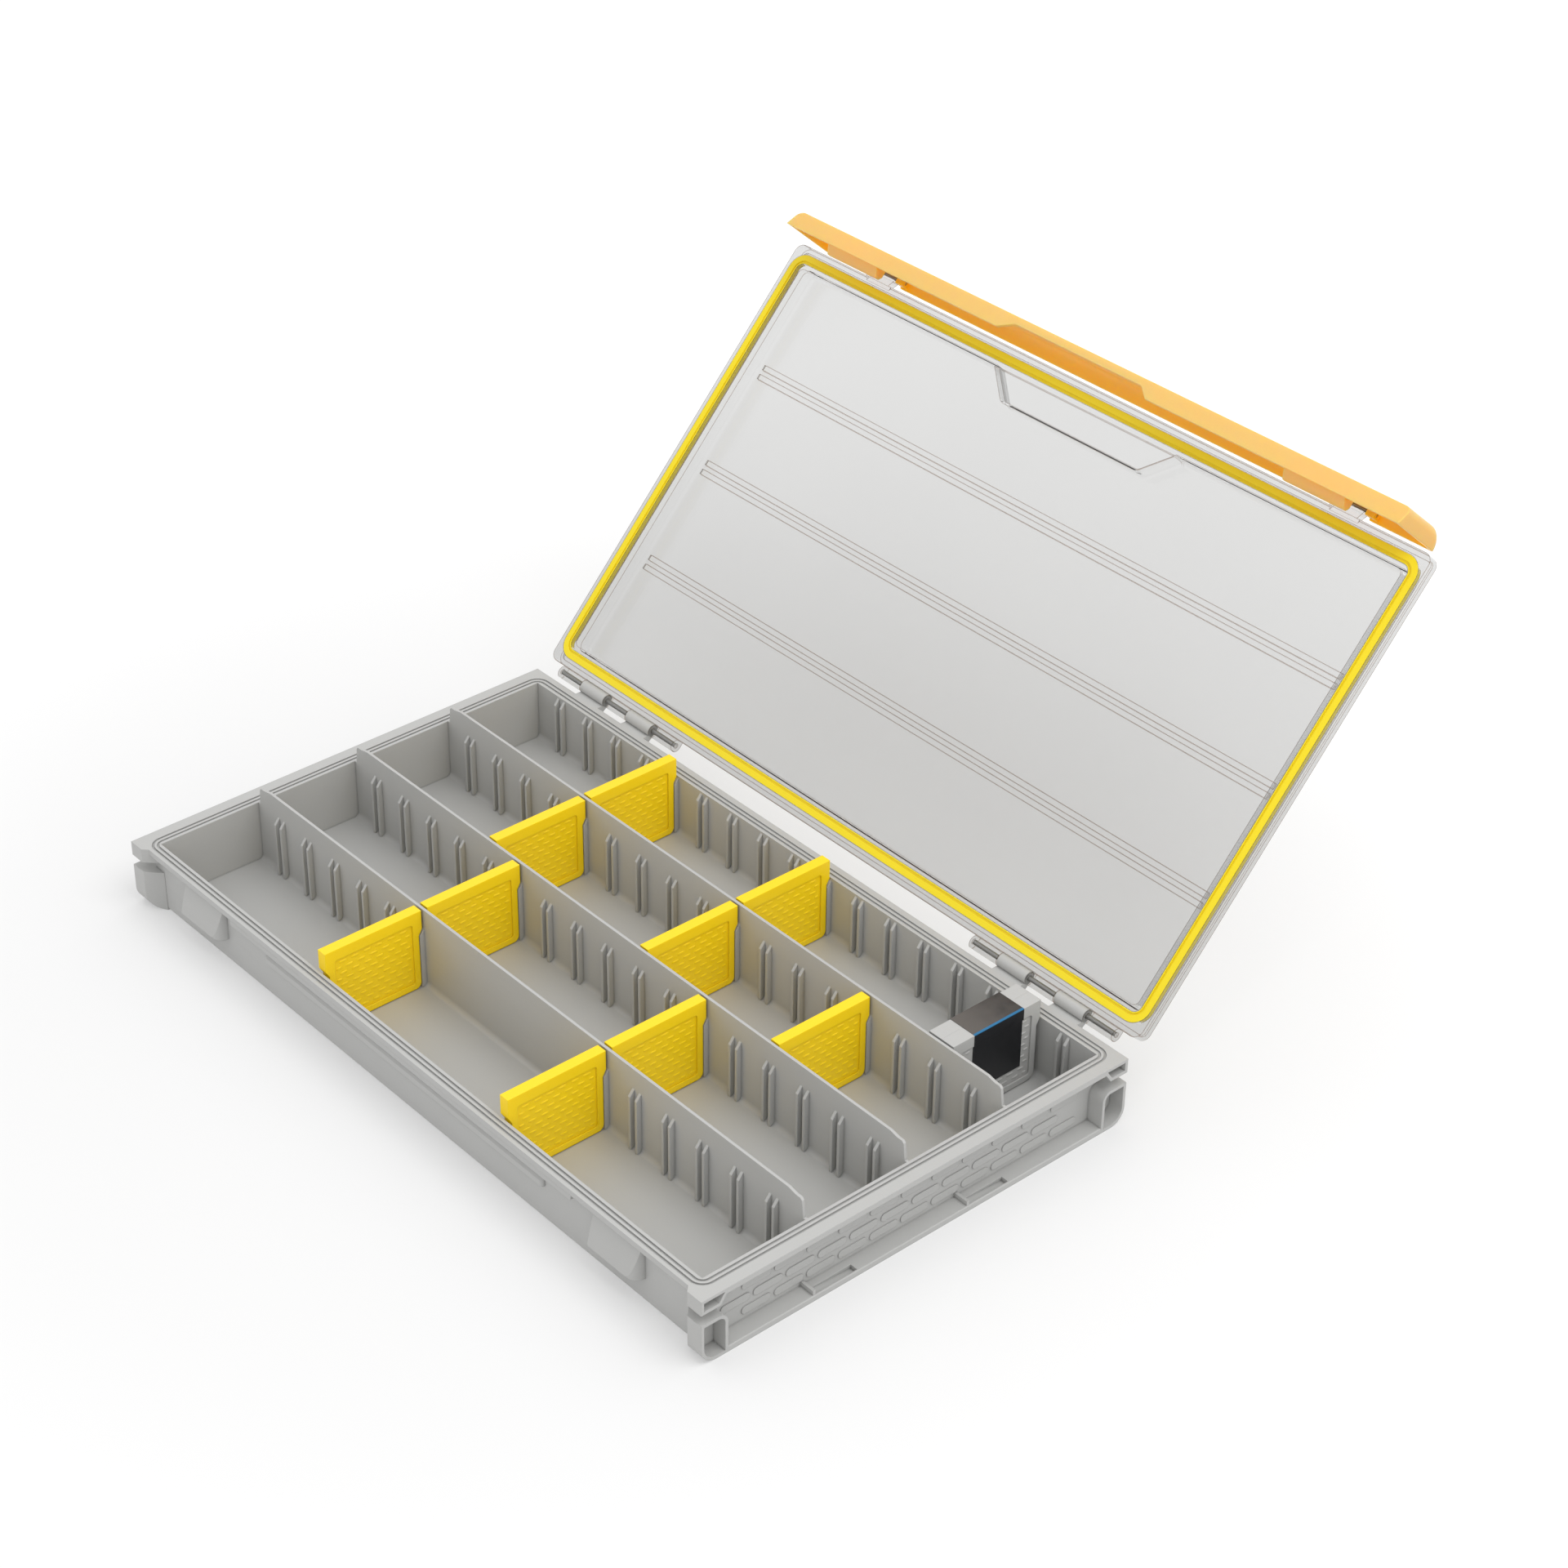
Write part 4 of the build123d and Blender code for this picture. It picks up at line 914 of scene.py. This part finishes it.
@dataclass
class Dividers:
    """The yellow cross dividers and the grey drying divider, each with its brick relief.

    The recess is how deep a face's panel is sunk. The ribs at the sides and the borders frame it,
    and the margins keep the pads off that frame.
    """

    recess: float = 0.6
    rib: float = 2.2
    border: float = 2.6
    top_border: float = 5.0
    side_margin: float = 0.6
    row_margin: float = 0.4
    relief: BrickRelief = field(default_factory=BrickRelief)

    def panel(self, low: np.ndarray, high: np.ndarray) -> Triple:
        """Finds the sunk panel inside a divider's box, with a small margin.

        Args:
            low: The box's lowest corner, in metres.
            high: The box's highest corner, in metres.

        Returns:
            The panel's half width, low and high.
        """
        half_width = (high[1] - low[1]) / 2 / MM - self.rib - self.border - self.side_margin
        bottom = low[2] / MM + self.border + self.row_margin
        top = high[2] / MM - self.top_border - self.row_margin
        return half_width, bottom, top

    def dress_one(
        self, body: str, corners: tuple, slot: Slot, finishes: Finishes, label: Pair = NO_LABEL
    ) -> None:
        """Adds the relief to one divider and makes it ride with it.

        Args:
            body: The divider's body.
            corners: The lowest and highest corners of the divider, in metres.
            slot: The divider's material slot.
            finishes: The finished materials.
            label: Half width and low edge of a label, which the pads stop at.
        """
        low, high = (np.array(corner) for corner in corners)
        planes = (low[0] / MM + self.recess, high[0] / MM - self.recess)
        middle_y = (low[1] + high[1]) / 2 / MM
        name = f"{body}_relief"
        piece = self.relief.on_faces(name, planes, middle_y, self.panel(low, high), label)
        piece.data.materials.append(finishes[slot])
        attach(piece, body)
        log.info("%s rides on %s", name, body)

    def dress(self, finishes: Finishes) -> None:
        """Dresses every divider.

        Args:
            finishes: The finished materials.
        """
        for name in frame["nodes"]:
            if name.startswith("divider_row"):
                self.dress_one(name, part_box(name), Slot.YELLOW, finishes)
        shell_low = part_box("drying_divider_shell_left")[0]
        shell_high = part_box("drying_divider_shell_right")[1]
        label_low, label_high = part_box("drying_divider_label")
        label = ((label_high[1] - label_low[1]) / 2 / MM, label_low[2] / MM)
        self.dress_one("drying_divider", (shell_low, shell_high), Slot.DRYER, finishes, label)


def seen(graph: Graph) -> Socket:
    """Marks the rays that show the background: camera, glossy and transmission rays.

    Args:
        graph: The graph to build in.

    Returns:
        The value 1 for such a ray, and 0 for others.
    """
    rays = graph.add("ShaderNodeLightPath").outputs
    plain = graph.math("MAXIMUM", rays["Is Camera Ray"], rays["Is Glossy Ray"])
    return graph.math("MAXIMUM", plain, rays["Is Transmission Ray"])


@dataclass
class Studio:
    """A white floor, plain light and the camera.

    The camera turns about the middle of the tray, at the height of its rim. The floor lies a hair
    below the tray, and glows more and more between two distances from the middle.
    """

    azimuth: float = 48.618
    elevation: float = 33.635
    roll: float = 0.757
    focal_pixels: float = 4214.812
    picture_pixels: float = 1920.0
    sensor_width: float = 36.0
    to_right: float = 67.114
    to_top: float = 61.96
    distance: float = 1320.259
    rim_height: float = 29.2
    clip_near: float = 0.01
    clip_far: float = 60.0
    key_power: float = 10.0
    key_size: float = 1.1
    key_place: Triple = (0.9, 0.25, 1.75)
    sky_unseen: float = 0.95
    floor_half: float = 6.0
    floor_drop: float = 0.02
    floor_colour: float = 0.62
    floor_glow: float = 0.27
    far_glow: float = 0.45
    far_from: float = 0.2
    far_to: float = 0.62
    floor_skip: float = 1.0

    def camera(self) -> None:
        """Places the camera as it was fitted to the photograph.

        The way back from the box is (sin a cos e, -cos a cos e, sin e), for the azimuth a and the
        elevation e. The right lies level, and both it and the up turn by the roll.
        """
        angles = (self.azimuth, self.elevation, self.roll)
        turn, lift, lean = (math.radians(angle) for angle in angles)
        level = math.cos(lift)
        back = np.array([math.sin(turn) * level, -math.cos(turn) * level, math.sin(lift)])
        right = np.array([math.cos(turn), math.sin(turn), 0.0])
        up = np.cross(back, right)
        right, up = (
            math.cos(lean) * right + math.sin(lean) * up,
            math.cos(lean) * up - math.sin(lean) * right,
        )
        place = (self.to_right * right + self.to_top * up + self.distance * back) * MM
        place[2] += self.rim_height * MM
        data = bpy.data.cameras.new("photo_camera")
        data.sensor_width = self.sensor_width
        data.lens = self.sensor_width * self.focal_pixels / self.picture_pixels
        data.clip_start = self.clip_near
        data.clip_end = self.clip_far
        camera = bpy.data.objects.new("photo_camera", data)
        axes = np.stack([right, up, back, place], axis=-1)
        camera.matrix_world = Matrix([*axes.tolist(), [0.0, 0.0, 0.0, 1.0]])
        bpy.context.scene.collection.objects.link(camera)
        bpy.context.scene.camera = camera

    def sky(self) -> None:
        """Builds the world: white where it is seen, a little softer where it only lights."""
        world = bpy.data.worlds.new("studio")
        graph = empty_graph(world)
        background = graph.add("ShaderNodeBackground")
        extra = 1.0 - self.sky_unseen
        strength = graph.math("MULTIPLY_ADD", seen(graph), extra, self.sky_unseen)
        graph.join(strength, background.inputs["Strength"])
        background.inputs["Color"].default_value = (1.0, 1.0, 1.0, 1.0)
        output = graph.add("ShaderNodeOutputWorld")
        graph.join(background.outputs[0], output.inputs["Surface"])
        bpy.context.scene.world = world

    def floor_finish(self) -> bpy.types.Material:
        """Builds the floor's material, pale by its own colour so that it still takes a shadow.

        It glows more where it is far away. Rays from below pass through it, and so do those that
        have come less than the skip.

        Returns:
            The material.
        """
        material = bpy.data.materials.new("floor_white")
        graph = empty_graph(material)
        paper = graph.add("ShaderNodeBsdfDiffuse")
        paper.inputs["Color"].default_value = (*[self.floor_colour] * 3, 1.0)
        away = graph.add("ShaderNodeVectorMath", operation="LENGTH")
        graph.join(graph.place(), away.inputs[0])
        far = graph.band(away.outputs["Value"], self.far_from, self.far_to)
        extra = self.far_glow - self.floor_glow
        shine = graph.math("MULTIPLY_ADD", far, extra, self.floor_glow)
        glow = graph.add("ShaderNodeEmission")
        graph.join(graph.math("MULTIPLY", seen(graph), shine), glow.inputs["Strength"])
        both = graph.add("ShaderNodeAddShader")
        graph.feed(both.inputs, (paper.outputs[0], glow.outputs[0]))
        below = graph.add("ShaderNodeNewGeometry").outputs["Backfacing"]
        ray_length = graph.add("ShaderNodeLightPath").outputs["Ray Length"]
        near = graph.math("LESS_THAN", ray_length, self.floor_skip * MM)
        surface = graph.mix_shaders(
            graph.math("MAXIMUM", below, near),
            both.outputs[0],
            graph.add("ShaderNodeBsdfTransparent").outputs[0],
        )
        graph.join(surface, graph.add("ShaderNodeOutputMaterial").inputs["Surface"])
        return material

    def floor(self) -> None:
        """Lays the floor."""
        half = self.floor_half
        corners = np.array([[-half, -half], [half, -half], [half, half], [-half, half]])
        points = np.column_stack([corners, np.full(len(corners), -self.floor_drop * MM)])
        plane = make_mesh("studio_floor", points, np.array([[0, 1, 2, 3]]))
        plane.data.materials.append(self.floor_finish())

    def lamp(self) -> None:
        """Hangs one large soft lamp over the object's right end, aimed at the origin."""
        data = bpy.data.lights.new("key_lamp", "AREA")
        data.shape = "SQUARE"
        data.size = self.key_size
        data.energy = self.key_power
        lamp = bpy.data.objects.new("key_lamp", data)
        place = Vector(self.key_place)
        lamp.location = place
        lamp.rotation_euler = (-place).to_track_quat("-Z", "Y").to_euler()
        bpy.context.scene.collection.objects.link(lamp)

    def build(self) -> None:
        """Builds the whole studio."""
        self.camera()
        self.sky()
        self.floor()
        self.lamp()
        bpy.context.scene.view_settings.view_transform = "Standard"
        log.info("studio ready")


def make_finishes() -> Finishes:
    """Makes every finish once.

    Returns:
        The material for each slot.
    """
    label_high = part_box("drying_divider_label")[1]
    finishes = {
        Slot.GREY: MouldedPlastic(
            name="moulded_grey", colour=linear(187, 187, 185), roughness=0.42
        ),
        Slot.CLEAR: ClearPlastic(
            name="clear_lid_plastic",
            colour=(0.68, 0.68, 0.675),
            shadow_colour=(0.92, 0.92, 0.915),
            painted_edge_line_colour=linear(112, 92, 78),
        ),
        Slot.AMBER: AmberPlastic(
            name="amber_latch_plastic",
            colour=linear(236, 198, 120),
            painted_glow_colour=linear(250, 180, 0),
        ),
        Slot.YELLOW: MouldedPlastic(
            name="yellow_divider_plastic",
            colour=linear(255, 216, 2),
            roughness=0.4,
            shade=0.04,
            subsurface=0.15,
            # A faint painted glow of the dividers' own colour.
            glow=0.08,
            painted_crease_shade=0.45,
        ),
        Slot.DRYER: MouldedPlastic(
            name="dryer_grey", colour=linear(190, 190, 188), roughness=0.5
        ),
        Slot.GRAINS: MouldedPlastic(
            name="drying_grains", colour=linear(200, 198, 190), roughness=0.8, shade=0.3
        ),
        Slot.LABEL: LabelFilm(
            name="label_film",
            colour=linear(24, 25, 29),
            top_colour=linear(92, 88, 84),
            line_colour=linear(20, 110, 158),
            edge_x=label_high[0] / MM,
            top_z=label_high[2] / MM,
        ),
        Slot.SEAL: MouldedPlastic(
            name="seal_yellow",
            colour=linear(246, 222, 4),
            roughness=0.5,
            grain_depth=0.004,
            subsurface=0.1,
            painted_crease_shade=0.0,
        ),
        Slot.STEEL: DrawnSteel(name="drawn_steel", colour=(0.6, 0.59, 0.57)),
    }
    return {slot: finish.build() for slot, finish in finishes.items()}


def dress_nodes(finishes: Finishes) -> None:
    """Gives every carried-over CAD node its finish, by the slot the record names.

    Args:
        finishes: The finished materials.
    """
    parts = frame["record"]["subparts"]
    by_node = {part["node"]: Slot(part["material_slot"]) for part in parts}
    for name, piece in frame["nodes"].items():
        piece.data.materials.clear()
        piece.data.materials.append(finishes[by_node[name]])
        log.info("%s dressed as %s", name, by_node[name].value)


def main() -> None:
    """Builds the studio, the finishes and every added piece."""
    logging.basicConfig(level=logging.INFO)
    Studio().build()
    finishes = make_finishes()
    dress_nodes(finishes)
    Dividers().dress(finishes)


if __name__ == "__main__":
    main()
